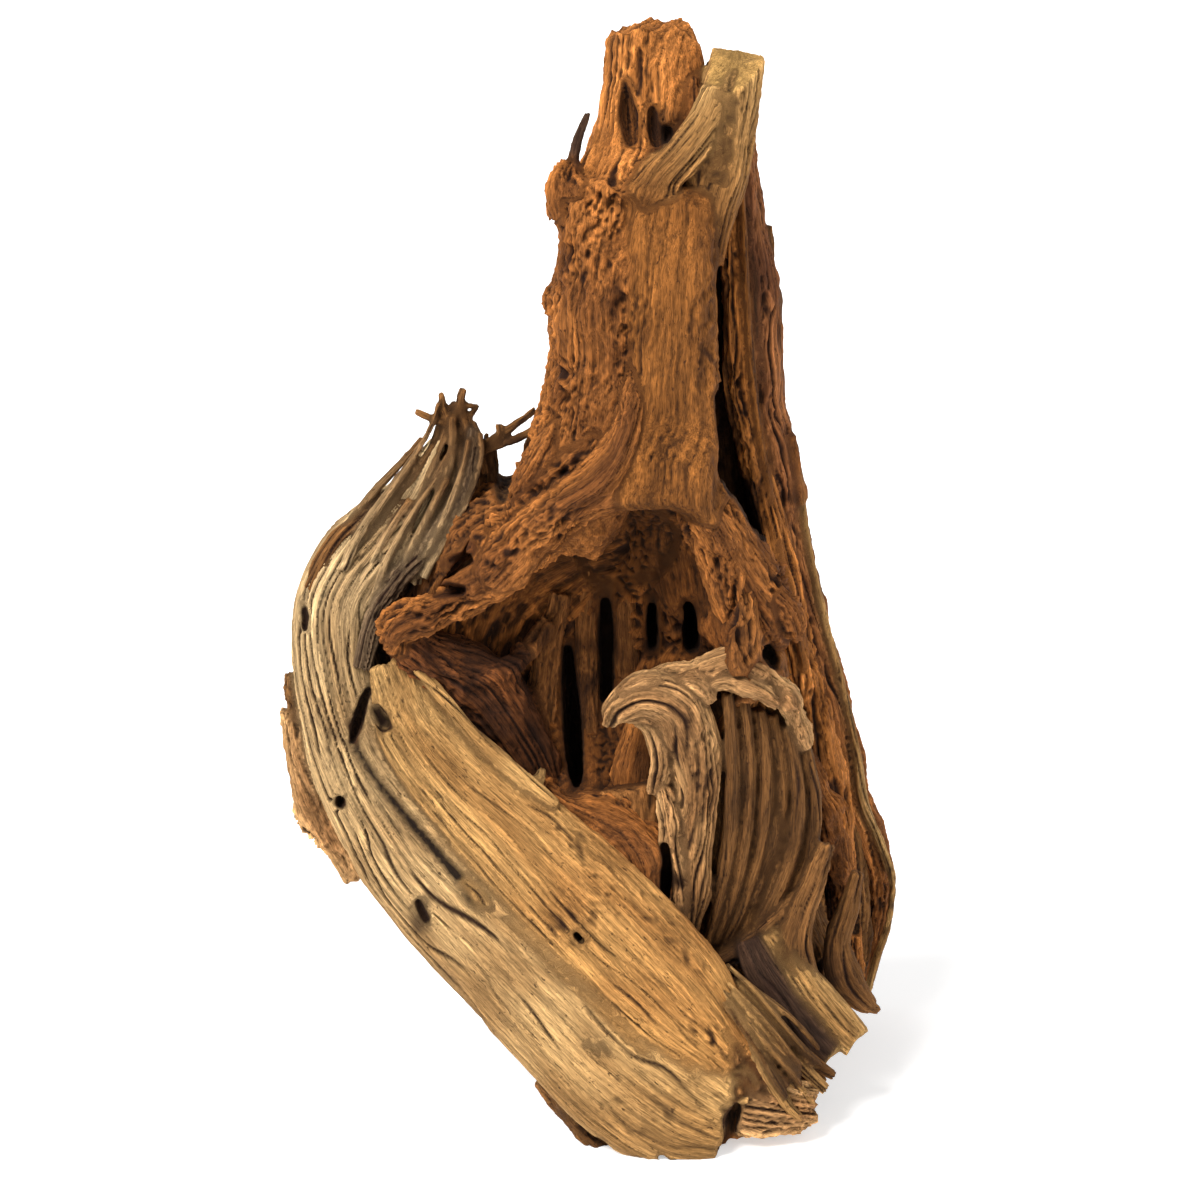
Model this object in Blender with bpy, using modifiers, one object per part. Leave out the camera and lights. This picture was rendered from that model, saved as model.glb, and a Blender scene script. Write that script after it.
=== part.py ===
"""A piece of driftwood that stands on its roots: metres, +Z up, its front towards -Y."""

import math

import bmesh
import bpy
import numpy as np

# The places of the wood's limbs are read from its front view, in steps of one 1200th of the view's width.
# The viewing camera turns them into metres: its distance, its tilt and the real size of a step at the wood.
STEP = 0.0004
VIEW_CENTRE = 600
VIEW_DISTANCE = 2.0
VIEW_TILT = math.radians(19)
VIEW_HEIGHT = 0.2154

# Moves the wood so that the origin is under the middle of its box.
ORIGIN_SHIFT = (0.0016, -0.0220)

# The relief's own measures, in steps: how far the grain wanders, how many times longer than wide a furrow is,
# how thick a limb must be to carry its full relief, and the width of a ragged end's teeth.
GRAIN_WANDER = np.array([90, 90, 120])
GRAIN_STRETCH = 9
FULL_RELIEF = 12
TOOTH = 9
THINNEST = 1.5

FACET = 0.0017
FEWEST_SIDES = 12
MOST_SIDES = 160
SAWN_RINGS = 12
TRIANGLES = 10600
MOST_MENDS = 8
FLAT_ANGLE = math.radians(0.2)
GROUND = 0.0

# Each limb is a run of stations: steps across and down the view, steps forward of the wood's middle plane,
# half its width and half its depth. The limb's section is a superellipse, where squareness 2 is an ellipse
# and 4 is nearly a box. A negative cup bends the section's sides away from the viewer. jag makes the first
# and the last end ragged by so many steps, and cut_start and cut_end saw an end off square to a direction:
# across, up and forward. surface names the limb's relief, or two reliefs that it changes between.

# Each surface has the height of its furrows, their spacing, the height of its lumps and their length.
SURFACES = {
    "rough": (3.0, 14, 5.0, 26),
    "ridged": (4.0, 18, 3.0, 40),
    "furrowed": (5.0, 13, 3.0, 30),
    "fine": (1.2, 14, 1.2, 40),
    "vault": (2.5, 16, 4.0, 34),
    "layered": (3.0, 10, 3.0, 24),
    "lumpy": (2.0, 16, 8.0, 18),
    "shell": (2.2, 15, 1.5, 50),
    "plank": (1.6, 22, 1.8, 60),
    "strand": (0.8, 8, 0.8, 16),
    "slat": (1.6, 10, 1.2, 30),
    "beam": (1.6, 14, 1.2, 40),
    "broken": (3.0, 16, 4.0, 22),
}

# Every limb is a run of stations: across and down in pixels of the 1200 x 1200 photograph, forward
# towards the viewer, half width and half depth, all in photograph pixels, and an optional roll in degrees.
# A limb's section is a superellipse: squareness 2 is an ellipse and 4 is close to a box. cup bends its
# sides towards the viewer, and a negative cup away. surface names its relief in SURFACES.

TRUNK_BEHIND = {
    "core": dict(surface="rough", squareness=2.4, stations=[
        (650, 150, -12, 42, 36), (650, 230, -8, 62, 50), (648, 320, -12, 66, 56), (645, 420, -15, 68, 60),
        (640, 500, -40, 74, 62), (655, 600, -112, 105, 56), (660, 700, -120, 116, 58),
        (655, 800, -105, 118, 66),
        (650, 900, -75, 112, 72), (648, 1000, -45, 104, 76), (650, 1085, -20, 96, 70)]),
    "back": dict(surface="ridged", squareness=2.4, stations=[
        (690, 190, -60, 40, 30), (700, 290, -82, 58, 38), (706, 400, -96, 70, 44), (716, 520, -118, 80, 46),
        (712, 640, -140, 96, 50), (690, 780, -150, 104, 54), (670, 900, -150, 100, 60),
        (660, 1000, -140, 90, 60)]),
    "hood": dict(surface="vault", squareness=2.6, stations=[
        (655, 478, 10, 78, 72), (640, 530, 6, 138, 86), (612, 590, 0, 186, 94), (594, 650, -14, 198, 92),
        (596, 720, -24, 186, 86), (604, 800, -30, 160, 86), (620, 880, -30, 130, 84)]),
}

TRUNK = {
    "front_face": dict(surface="fine", squareness=3.0, stations=[
        (672, 190, 22, 38, 22), (671, 214, 30, 42, 28), (671, 262, 36, 43, 32), (673, 340, 40, 43, 34),
        (674, 420, 44, 46, 36), (671, 474, 52, 50, 40), (668, 504, 60, 54, 36), (668, 520, 62, 52, 26)]),
    "left_face": dict(surface="rough", squareness=2.6, stations=[
        (594, 192, 5, 38, 38), (602, 262, 10, 42, 45), (599, 302, 10, 49, 48), (599, 350, 10, 50, 48),
        (595, 400, 16, 51, 50), (586, 450, 22, 58, 50), (572, 492, 30, 60, 46), (548, 532, 34, 54, 38)]),
    "stump": dict(surface="furrowed", squareness=2.6, jag=(5, 0), stations=[
        (648, 26, -32, 38, 28), (652, 60, -30, 45, 33), (648, 100, -27, 45, 36), (643, 140, -22, 50, 40),
        (638, 186, -14, 62, 46)]),
    "stump_knuckle_right": dict(surface="rough", stations=[
        (682, 30, -28, 12, 12), (690, 55, -26, 12, 14), (695, 90, -24, 14, 14)]),
    "stump_knuckle_left": dict(surface="rough", stations=[
        (618, 38, -22, 10, 12), (614, 70, -22, 10, 12)]),
    "stump_shards": dict(surface="furrowed", stations=[
        (694, 78, -6, 5, 6), (692, 105, -4, 12, 10), (688, 140, 0, 14, 14)]),
    "stump_dark_shards": dict(surface="furrowed", stations=[
        (712, 62, -40, 5, 6), (712, 90, -38, 12, 10), (706, 130, -34, 14, 16)]),
    "crown": dict(surface="furrowed", squareness=3, cut_start=(-0.12, 0.78, 0.6), stations=[
        (738, 58, -2, 25, 30), (733, 84, 2, 26, 30), (727, 130, 10, 27, 29), (718, 172, 16, 30, 27),
        (708, 215, 22, 27, 24), (704, 262, 24, 18, 18)]),
    "crown_fin": dict(surface="fine", stations=[
        (720, 86, 16, 17, 14), (702, 118, 26, 19, 15), (676, 152, 34, 21, 16), (646, 186, 34, 20, 18),
        (640, 210, 36, 14, 16)]),
    "left_rim": dict(surface="rough", stations=[
        (571, 160, 6, 10, 11), (566, 182, 10, 18, 18), (574, 214, 12, 24, 24)]),
    "front_rim": dict(surface="rough", stations=[
        (572, 188, 12, 14, 13), (600, 190, 30, 14, 14), (636, 190, 42, 15, 14), (672, 200, 44, 18, 16),
        (700, 220, 40, 16, 16)]),
    "rim_twig": dict(surface="strand", stations=[
        (588, 112, 4, 3.2, 3.2), (582, 128, 5, 4.6, 4.4), (576, 146, 6, 6, 5), (573, 168, 8, 7, 6)]),
    "side_knob": dict(surface="rough", stations=[
        (549, 284, 6, 5, 6), (549, 297, 6, 7, 8), (555, 312, 6, 6, 8)]),
    "neck_ridge": dict(surface="rough", stations=[
        (636, 330, 44, 5, 8), (634, 380, 58, 8, 14), (630, 420, 72, 12, 20), (618, 454, 84, 18, 24),
        (592, 484, 84, 22, 26), (556, 510, 76, 23, 24), (518, 542, 66, 22, 22), (486, 574, 56, 18, 20)]),
    "neck_ridge_low": dict(surface="rough", stations=[
        (604, 418, 56, 9, 12), (590, 446, 64, 13, 18), (562, 470, 64, 16, 20), (536, 494, 58, 16, 18),
        (508, 522, 48, 16, 18)]),
    "hood_lip": dict(surface="vault", stations=[
        (556, 530, 70, 18, 16), (590, 518, 88, 17, 18), (630, 512, 98, 16, 20), (672, 511, 98, 15, 20),
        (700, 522, 88, 15, 18), (726, 548, 70, 18, 16)]),
    "wing_left": dict(surface="layered", squareness=2.4, stations=[
        (560, 520, 44, 26, 22), (508, 560, 48, 28, 22), (462, 594, 52, 26, 22), (424, 614, 56, 22, 22),
        (394, 628, 60, 18, 20), (384, 646, 58, 13, 14)]),
    "wing_right": dict(surface="rough", squareness=2.4, stations=[
        (704, 514, 62, 22, 24), (726, 552, 50, 32, 28), (746, 590, 36, 40, 30), (764, 620, 24, 38, 28),
        (774, 648, 12, 26, 22), (778, 668, 4, 14, 14)]),
    "wing_right_nub": dict(surface="rough", stations=[
        (770, 592, 40, 16, 16), (788, 618, 34, 17, 16), (796, 638, 28, 8, 10)]),
    "lap_1": dict(surface="layered", stations=[
        (386, 632, 66, 9, 10), (408, 662, 66, 11, 12), (444, 684, 56, 12, 13), (486, 690, 36, 12, 13),
        (520, 676, 8, 12, 13), (545, 646, -14, 11, 12)]),
    "lap_2": dict(surface="layered", stations=[
        (398, 668, 50, 9, 10), (430, 702, 46, 12, 12), (470, 720, 30, 12, 13), (508, 720, 6, 12, 13),
        (540, 704, -18, 10, 11)]),
    "lap_3": dict(surface="layered", stations=[
        (430, 726, 36, 11, 12), (466, 752, 24, 13, 13), (506, 760, 2, 12, 13), (540, 752, -18, 10, 11)]),
    "lap_4": dict(surface="layered", stations=[
        (470, 770, 30, 11, 12), (506, 790, 16, 13, 13), (540, 796, 2, 11, 12)]),
    "cavity_stave_1": dict(surface="fine", squareness=3, stations=[
        (560, 590, -30, 12, 14), (548, 650, -24, 15, 18), (540, 720, -18, 17, 20), (536, 780, -8, 15, 20),
        (540, 806, 0, 9, 14)]),
    "cavity_stave_2": dict(surface="fine", squareness=3, stations=[
        (592, 566, -34, 10, 14), (586, 630, -32, 12, 18), (588, 700, -26, 13, 18), (592, 790, -18, 12, 18)]),
    "cavity_stave_3": dict(surface="fine", squareness=3, stations=[
        (624, 560, -34, 11, 14), (626, 640, -36, 13, 18), (628, 720, -34, 14, 18), (622, 800, -20, 14, 18)]),
    "cavity_stave_4": dict(surface="fine", squareness=3, stations=[
        (668, 560, -34, 12, 14), (670, 630, -38, 13, 16), (668, 700, -40, 14, 18)]),
    "cavity_stave_5": dict(surface="fine", squareness=3, stations=[
        (704, 566, -24, 14, 16), (712, 620, -30, 15, 18), (712, 690, -34, 14, 18)]),
    "cavity_floor": dict(surface="rough", squareness=2.4, stations=[
        (520, 806, 26, 28, 26), (560, 830, 26, 36, 30), (610, 850, 26, 40, 34), (660, 880, 20, 40, 40)]),
    "lump_ridge": dict(surface="lumpy", stations=[
        (542, 792, 58, 10, 12), (566, 806, 60, 18, 18), (600, 822, 62, 28, 24), (632, 846, 62, 32, 28),
        (650, 884, 62, 26, 28), (662, 922, 60, 17, 22), (674, 948, 56, 9, 14)]),
    "red_column": dict(surface="fine", squareness=3, stations=[
        (646, 722, 4, 20, 22), (636, 770, 8, 25, 24), (634, 810, 14, 26, 24), (646, 850, 20, 22, 24)]),
}

SLAB = {
    "outer_slab": dict(surface="ridged", squareness=3, cup=-6, stations=[
        (746, 92, -42, 9, 18), (744, 160, -45, 13, 26), (747, 220, -48, 18, 30), (754, 290, -50, 26, 32),
        (755, 360, -55, 27, 34), (757, 408, -60, 26, 34), (766, 450, -66, 28, 34), (776, 500, -74, 29, 34),
        (785, 560, -84, 29, 32), (799, 620, -96, 29, 30), (817, 680, -110, 28, 28), (835, 740, -126, 25, 26),
        (848, 790, -140, 20, 24), (866, 836, -156, 18, 20), (879, 880, -172, 16, 16), (877, 922, -190, 14, 14),
        (868, 962, -206, 9, 13), (866, 990, -216, 6, 8)]),
    "slab_edge": dict(surface="strand", stations=[
        (798, 470, -56, 4, 8), (807, 540, -62, 4, 8), (822, 610, -74, 5, 8), (840, 680, -88, 5, 8),
        (856, 750, -104, 5, 8), (864, 800, -116, 5, 8), (880, 840, -130, 5, 8), (892, 880, -142, 5, 8),
        (888, 922, -156, 5, 8), (876, 960, -170, 5, 8), (868, 992, -180, 4, 6)]),
    "slab_cap": dict(surface="rough", stations=[
        (788, 434, -52, 6, 10), (794, 460, -56, 8, 14), (800, 500, -62, 7, 12)]),
    "slab_thorn": dict(surface="strand", stations=[
        (769, 224, -48, 2.6, 3), (771, 240, -48, 3.6, 4), (770, 258, -48, 5, 6), (768, 284, -48, 8, 10)]),
    "slab_bump": dict(surface="rough", stations=[
        (777, 286, -46, 4, 6), (779, 300, -46, 5, 8), (778, 318, -46, 4, 8)]),
    "inner_strip": dict(surface="furrowed", squareness=2.6, stations=[
        (728, 214, -18, 8, 18), (734, 300, -20, 14, 24), (738, 380, -24, 15, 28), (751, 446, -32, 14, 28),
        (766, 510, -42, 16, 28), (782, 580, -52, 18, 26), (798, 650, -62, 20, 26), (814, 720, -76, 21, 26),
        (828, 790, -90, 22, 24), (838, 860, -108, 20, 22), (846, 920, -130, 17, 20), (852, 975, -160, 13, 16)]),
    "inner_rib": dict(surface="strand", stations=[
        (722, 240, 0, 5, 10), (728, 320, -2, 6, 12), (733, 400, -6, 6, 12), (748, 462, -14, 6, 12),
        (770, 540, -26, 7, 12), (790, 620, -36, 7, 12), (800, 668, -42, 6, 10)]),
    "wing_strand": dict(surface="strand", stations=[
        (772, 652, 0, 7, 8), (781, 700, -6, 7, 9), (800, 748, -14, 8, 10), (816, 800, -26, 8, 10)]),
    "rotten_strip": dict(surface="lumpy", stations=[
        (806, 752, -34, 8, 10), (822, 800, -46, 16, 14), (838, 850, -60, 17, 16), (846, 900, -74, 14, 14),
        (850, 936, -84, 8, 12)]),
}

SHELL = {
    "shell": dict(surface=("shell", "plank"), squareness=3.2, cup=-12, jag=(14, 12), stations=[
        (438, 450, -14, 12, 9), (408, 504, -4, 28, 11), (366, 552, 8, 43, 12), (337, 602, 20, 43, 12),
        (334, 656, 32, 43, 12), (348, 714, 44, 50, 13), (376, 774, 58, 63, 15), (426, 836, 76, 80, 17),
        (480, 890, 92, 88, 18), (535, 944, 106, 92, 19), (590, 998, 118, 96, 20), (644, 1048, 128, 100, 20),
        (690, 1084, 135, 98, 20), (726, 1108, 139, 80, 20), (752, 1124, 140, 50, 18)]),
    "plank": dict(surface="plank", squareness=2.4, cup=-5, jag=(10, 12), stations=[
        (388, 664, 60, 20, 8), (414, 724, 66, 38, 11), (462, 782, 79, 48, 13), (524, 842, 95, 56, 14),
        (582, 900, 107, 62, 15), (640, 960, 119, 63, 16), (696, 1018, 129, 62, 16), (742, 1068, 136, 56, 16),
        (772, 1096, 138, 44, 16)]),
    "plank_lip": dict(surface="shell", stations=[
        (407, 658, 62, 6, 7), (436, 690, 66, 8, 8), (476, 736, 72, 9, 9), (520, 776, 80, 9, 9),
        (556, 806, 84, 7, 8)]),
    "plank_lip_chip": dict(surface="strand", stations=[
        (543, 768, 70, 4, 5), (536, 784, 72, 9, 7), (524, 796, 74, 9, 7)]),
    "knot_curl": dict(surface="strand", stations=[
        (462, 882, 104, 5, 6), (478, 898, 106, 7, 7), (480, 920, 104, 6, 7), (462, 936, 102, 7, 7),
        (452, 950, 100, 7, 7), (462, 968, 102, 5, 6)]),
    "knot_patch": dict(surface="lumpy", stations=[
        (588, 1040, 140, 8, 7), (602, 1056, 142, 16, 8), (612, 1074, 142, 8, 7)]),
    "brown_backing": dict(surface="rough", squareness=2.6, jag=(6, 6), stations=[
        (290, 708, 20, 12, 12), (298, 752, 24, 18, 14), (314, 800, 32, 20, 15), (336, 842, 40, 18, 14),
        (356, 880, 48, 12, 11)]),
    "brown_spur": dict(surface="rough", stations=[
        (289, 672, 22, 3.5, 6), (290, 692, 22, 6, 9), (298, 716, 24, 8, 10)]),
    "shell_body": dict(surface="rough", squareness=2.6, stations=[
        (400, 600, -20, 40, 18), (388, 660, -6, 44, 24), (408, 730, 8, 58, 32), (452, 800, 26, 70, 40),
        (510, 866, 44, 76, 42), (568, 934, 62, 78, 42), (626, 1004, 78, 78, 40), (680, 1060, 88, 74, 38),
        (714, 1108, 96, 58, 30)]),
    "foot": dict(surface="broken", squareness=2.8, jag=(0, 8), stations=[
        (650, 1020, 80, 60, 30), (690, 1076, 96, 84, 36), (706, 1112, 104, 92, 32), (712, 1136, 108, 80, 26)]),
}

CLUSTER = {
    "spray_1": dict(surface="strand", stations=[
        (334, 606, 12, 12, 9), (350, 566, 8, 14, 9), (386, 512, -2, 12, 9), (414, 466, -10, 10, 8),
        (430, 430, -14, 8, 7), (441, 396, -16, 4, 5)]),
    "spray_2": dict(surface="strand", stations=[
        (366, 604, 20, 12, 9), (392, 548, 12, 13, 10), (422, 496, 2, 11, 9), (440, 450, -6, 9, 8),
        (452, 416, -12, 7, 6), (460, 390, -14, 5, 5)]),
    "spray_3": dict(surface="strand", stations=[
        (362, 668, 40, 11, 9), (378, 612, 34, 12, 10), (404, 572, 26, 11, 10), (440, 534, 18, 11, 9),
        (462, 494, 10, 10, 8), (470, 458, 2, 7, 6), (474, 428, -4, 5, 5)]),
    "spray_4": dict(surface="strand", stations=[
        (430, 560, 4, 12, 10), (452, 520, 0, 12, 10), (470, 480, -8, 10, 8), (482, 444, -14, 7, 7)]),
    "spray_5": dict(surface="strand", stations=[
        (470, 590, -10, 16, 12), (486, 540, -14, 14, 11), (492, 490, -18, 11, 9), (490, 448, -20, 8, 7)]),
    "spray_6": dict(surface="strand", stations=[
        (440, 600, 14, 9, 9), (462, 568, 12, 8, 8), (484, 540, 8, 7, 7), (502, 516, 2, 3, 4)]),
    "spray_7": dict(surface="strand", stations=[
        (410, 600, 2, 13, 10), (430, 560, -6, 14, 11), (448, 500, -16, 13, 10), (452, 446, -20, 9, 8)]),
    "spray_9": dict(surface="strand", stations=[
        (312, 590, 12, 9, 8), (330, 552, 8, 11, 8), (360, 520, 2, 10, 8), (384, 498, -4, 6, 6)]),
    "spray_10": dict(surface="strand", stations=[
        (346, 590, 18, 12, 9), (372, 538, 8, 12, 9), (398, 498, 0, 10, 8), (416, 462, -6, 7, 6)]),
    "spray_11": dict(surface="strand", stations=[
        (386, 596, 26, 10, 9), (410, 548, 18, 11, 10), (432, 500, 6, 9, 8), (448, 458, -4, 7, 7),
        (458, 420, -10, 4, 5)]),
    "spray_12": dict(surface="strand", stations=[
        (398, 640, 34, 9, 8), (426, 606, 26, 10, 9), (454, 574, 18, 9, 8), (476, 552, 10, 5, 5)]),
    "spray_8": dict(surface="strand", stations=[
        (420, 630, 24, 9, 8), (450, 606, 20, 8, 8), (480, 586, 14, 6, 6), (504, 566, 8, 5, 5)]),
    "twig_left": dict(surface="strand", stations=[
        (415, 411, -8, 3.6, 3.6), (426, 416, -8, 4, 4), (446, 424, -10, 4, 4)]),
    "twig_hook": dict(surface="strand", stations=[
        (474, 405, -12, 2.2, 2.6), (463, 406, -12, 5, 4), (452, 418, -12, 6, 5)]),
    "twig_right_high": dict(surface="strand", stations=[
        (536, 409, -4, 3.4, 3.4), (522, 420, -6, 4.4, 4.4), (502, 434, -10, 6, 5), (482, 446, -14, 6, 6)]),
    "twig_right_low": dict(surface="strand", stations=[
        (556, 420, -2, 4, 4), (540, 426, -4, 4, 4), (522, 436, -6, 4.4, 4), (500, 446, -8, 3.6, 3.6),
        (480, 452, -10, 4, 4)]),
    "twig_nub": dict(surface="strand", stations=[
        (499, 424, -8, 4, 4), (500, 434, -9, 5, 5), (492, 446, -12, 6, 6)]),
    "web_left": dict(surface="rough", stations=[
        (520, 560, -30, 22, 14), (510, 530, -34, 16, 12), (505, 505, -38, 11, 9)]),
    "web_right": dict(surface="rough", stations=[
        (530, 548, -20, 18, 14), (524, 500, -22, 10, 10), (528, 462, -22, 8, 9), (538, 434, -18, 7, 8)]),
    "web_back": dict(surface="rough", squareness=2.6, stations=[
        (470, 510, -46, 26, 12), (462, 560, -44, 48, 16), (450, 610, -34, 60, 22), (440, 660, -20, 60, 26)]),
}

KNOB = {
    "knob_body": dict(surface="rough", squareness=2.4, stations=[
        (712, 690, 6, 56, 34), (738, 750, 8, 66, 40), (744, 830, 6, 58, 42), (730, 900, 2, 44, 40),
        (712, 956, 0, 30, 34), (700, 1010, 10, 30, 30)]),
    "crest": dict(surface="lumpy", stations=[
        (640, 683, 46, 12, 15), (672, 675, 42, 15, 18), (704, 676, 36, 13, 18), (738, 664, 32, 15, 18),
        (768, 680, 26, 15, 18), (792, 708, 18, 12, 16), (804, 742, 12, 9, 14)]),
    "hook": dict(surface="slat", squareness=2.6, stations=[
        (610, 721, 62, 8, 9), (624, 706, 66, 18, 15), (650, 700, 66, 28, 21), (676, 714, 62, 32, 25),
        (691, 748, 58, 28, 26), (694, 792, 54, 21, 25), (690, 840, 54, 22, 25), (690, 890, 54, 20, 24),
        (684, 936, 50, 14, 18), (682, 958, 48, 8, 12)]),
    "hook_fold": dict(surface="slat", stations=[
        (664, 790, 54, 8, 12), (668, 812, 62, 14, 16), (674, 850, 64, 16, 18), (680, 900, 60, 15, 18),
        (676, 940, 54, 10, 14)]),
    "hook_tongue": dict(surface="slat", stations=[
        (640, 716, 58, 9, 10), (658, 736, 62, 14, 14), (662, 766, 58, 13, 14), (656, 792, 50, 8, 10)]),
    "stave_1": dict(surface="slat", squareness=3, stations=[
        (716, 690, 46, 9, 16), (720, 760, 50, 10, 18), (718, 830, 46, 11, 18), (708, 900, 42, 10, 16),
        (700, 948, 36, 6, 12)]),
    "stave_2": dict(surface="slat", squareness=3, stations=[
        (738, 684, 44, 11, 16), (744, 760, 48, 13, 18), (740, 830, 44, 13, 18), (722, 900, 40, 12, 16),
        (706, 952, 32, 7, 12)]),
    "stave_3": dict(surface="slat", squareness=3, stations=[
        (764, 698, 36, 12, 16), (770, 768, 40, 13, 18), (764, 838, 38, 13, 18), (742, 904, 34, 12, 16),
        (718, 956, 28, 8, 12)]),
    "stave_4": dict(surface="slat", squareness=3, stations=[
        (787, 716, 26, 11, 15), (794, 782, 30, 12, 17), (787, 848, 30, 12, 17), (764, 908, 28, 11, 14),
        (734, 956, 24, 8, 12)]),
    "stave_5": dict(surface="slat", squareness=3, stations=[
        (806, 752, 16, 7, 13), (814, 802, 18, 8, 14), (808, 856, 20, 9, 14), (790, 902, 22, 8, 12)]),
    "skirt": dict(surface="furrowed", stations=[
        (820, 862, 30, 5, 8), (796, 898, 38, 10, 12), (766, 930, 42, 13, 15), (730, 956, 42, 12, 14),
        (700, 968, 38, 9, 12)]),
    "horn_1": dict(surface="slat", squareness=3, stations=[
        (828, 844, 38, 8, 9), (816, 876, 44, 12, 12), (802, 912, 48, 14, 14), (794, 950, 50, 18, 15),
        (806, 990, 48, 22, 15), (832, 1020, 44, 18, 12)]),
    "horn_2": dict(surface="slat", squareness=3, stations=[
        (857, 872, 8, 7, 9), (848, 906, 12, 10, 12), (838, 944, 16, 14, 14), (846, 978, 16, 18, 14),
        (864, 1000, 12, 12, 10), (878, 1011, 8, 4, 5)]),
    "beam": dict(surface="beam", squareness=3.4, cut_end=(0.75, -0.45, 0.45), stations=[
        (748, 938, 50, 16, 15), (766, 966, 56, 24, 19), (796, 1002, 58, 27, 21), (822, 1032, 58, 28, 21),
        (846, 1056, 58, 26, 20)]),
    "root_mass": dict(surface="rough", squareness=2.4, stations=[
        (760, 900, -40, 60, 44), (786, 960, -50, 56, 44), (790, 1010, -60, 50, 40), (780, 1050, -60, 44, 30)]),
    "leaf_1": dict(surface="strand", stations=[
        (734, 990, 104, 6, 7), (764, 1030, 106, 7, 8), (800, 1066, 106, 7, 8), (826, 1090, 104, 6, 7)]),
    "leaf_2": dict(surface="strand", stations=[
        (738, 1010, 120, 5, 8), (760, 1046, 122, 6, 9), (790, 1082, 122, 7, 9), (812, 1106, 118, 6, 8)]),
    "leaf_3": dict(surface="strand", stations=[
        (744, 1030, 132, 5, 8), (760, 1064, 134, 6, 9), (782, 1098, 132, 7, 9), (800, 1120, 128, 6, 8)]),
    "leaf_4": dict(surface="strand", stations=[
        (742, 1000, 92, 6, 7), (772, 1030, 92, 6, 8), (806, 1058, 90, 7, 8), (834, 1076, 88, 5, 6)]),
    "under_beam": dict(surface="rough", stations=[
        (720, 990, 60, 20, 24), (752, 1030, 70, 26, 24), (786, 1070, 76, 28, 20), (806, 1094, 78, 22, 16)]),
}

ROOTS = {
    "curl_backing": dict(surface="ridged", squareness=2.4, stations=[
        (790, 700, -110, 34, 30), (812, 790, -126, 38, 28), (832, 860, -146, 36, 26), (840, 920, -166, 32, 24),
        (842, 980, -190, 22, 20)]),
    "root_left": dict(surface="ridged", squareness=2.4, stations=[
        (600, 720, -110, 60, 44), (576, 810, -150, 52, 42), (546, 900, -196, 42, 36), (524, 970, -236, 34, 30),
        (512, 1010, -256, 28, 24)]),
    "root_right": dict(surface="ridged", squareness=2.4, stations=[
        (720, 780, -130, 60, 44), (760, 870, -140, 50, 40), (792, 950, -160, 40, 34), (806, 1010, -180, 32, 28),
        (808, 1040, -190, 26, 22)]),
    "root_back": dict(surface="ridged", squareness=2.4, stations=[
        (690, 560, -150, 52, 34), (680, 700, -176, 54, 38), (668, 840, -200, 48, 38), (660, 950, -230, 40, 34),
        (656, 1010, -250, 32, 28)]),
}

HOLLOW = {
    "hollow": dict(surface="rough", squareness=2.2, stations=[
        (642, 514, 98, 44, 22), (640, 540, 90, 84, 62), (628, 576, 84, 112, 88), (600, 624, 80, 156, 98),
        (588, 672, 78, 172, 98), (596, 720, 78, 152, 94), (604, 760, 80, 118, 84), (612, 800, 84, 84, 66)]),
}

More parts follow.
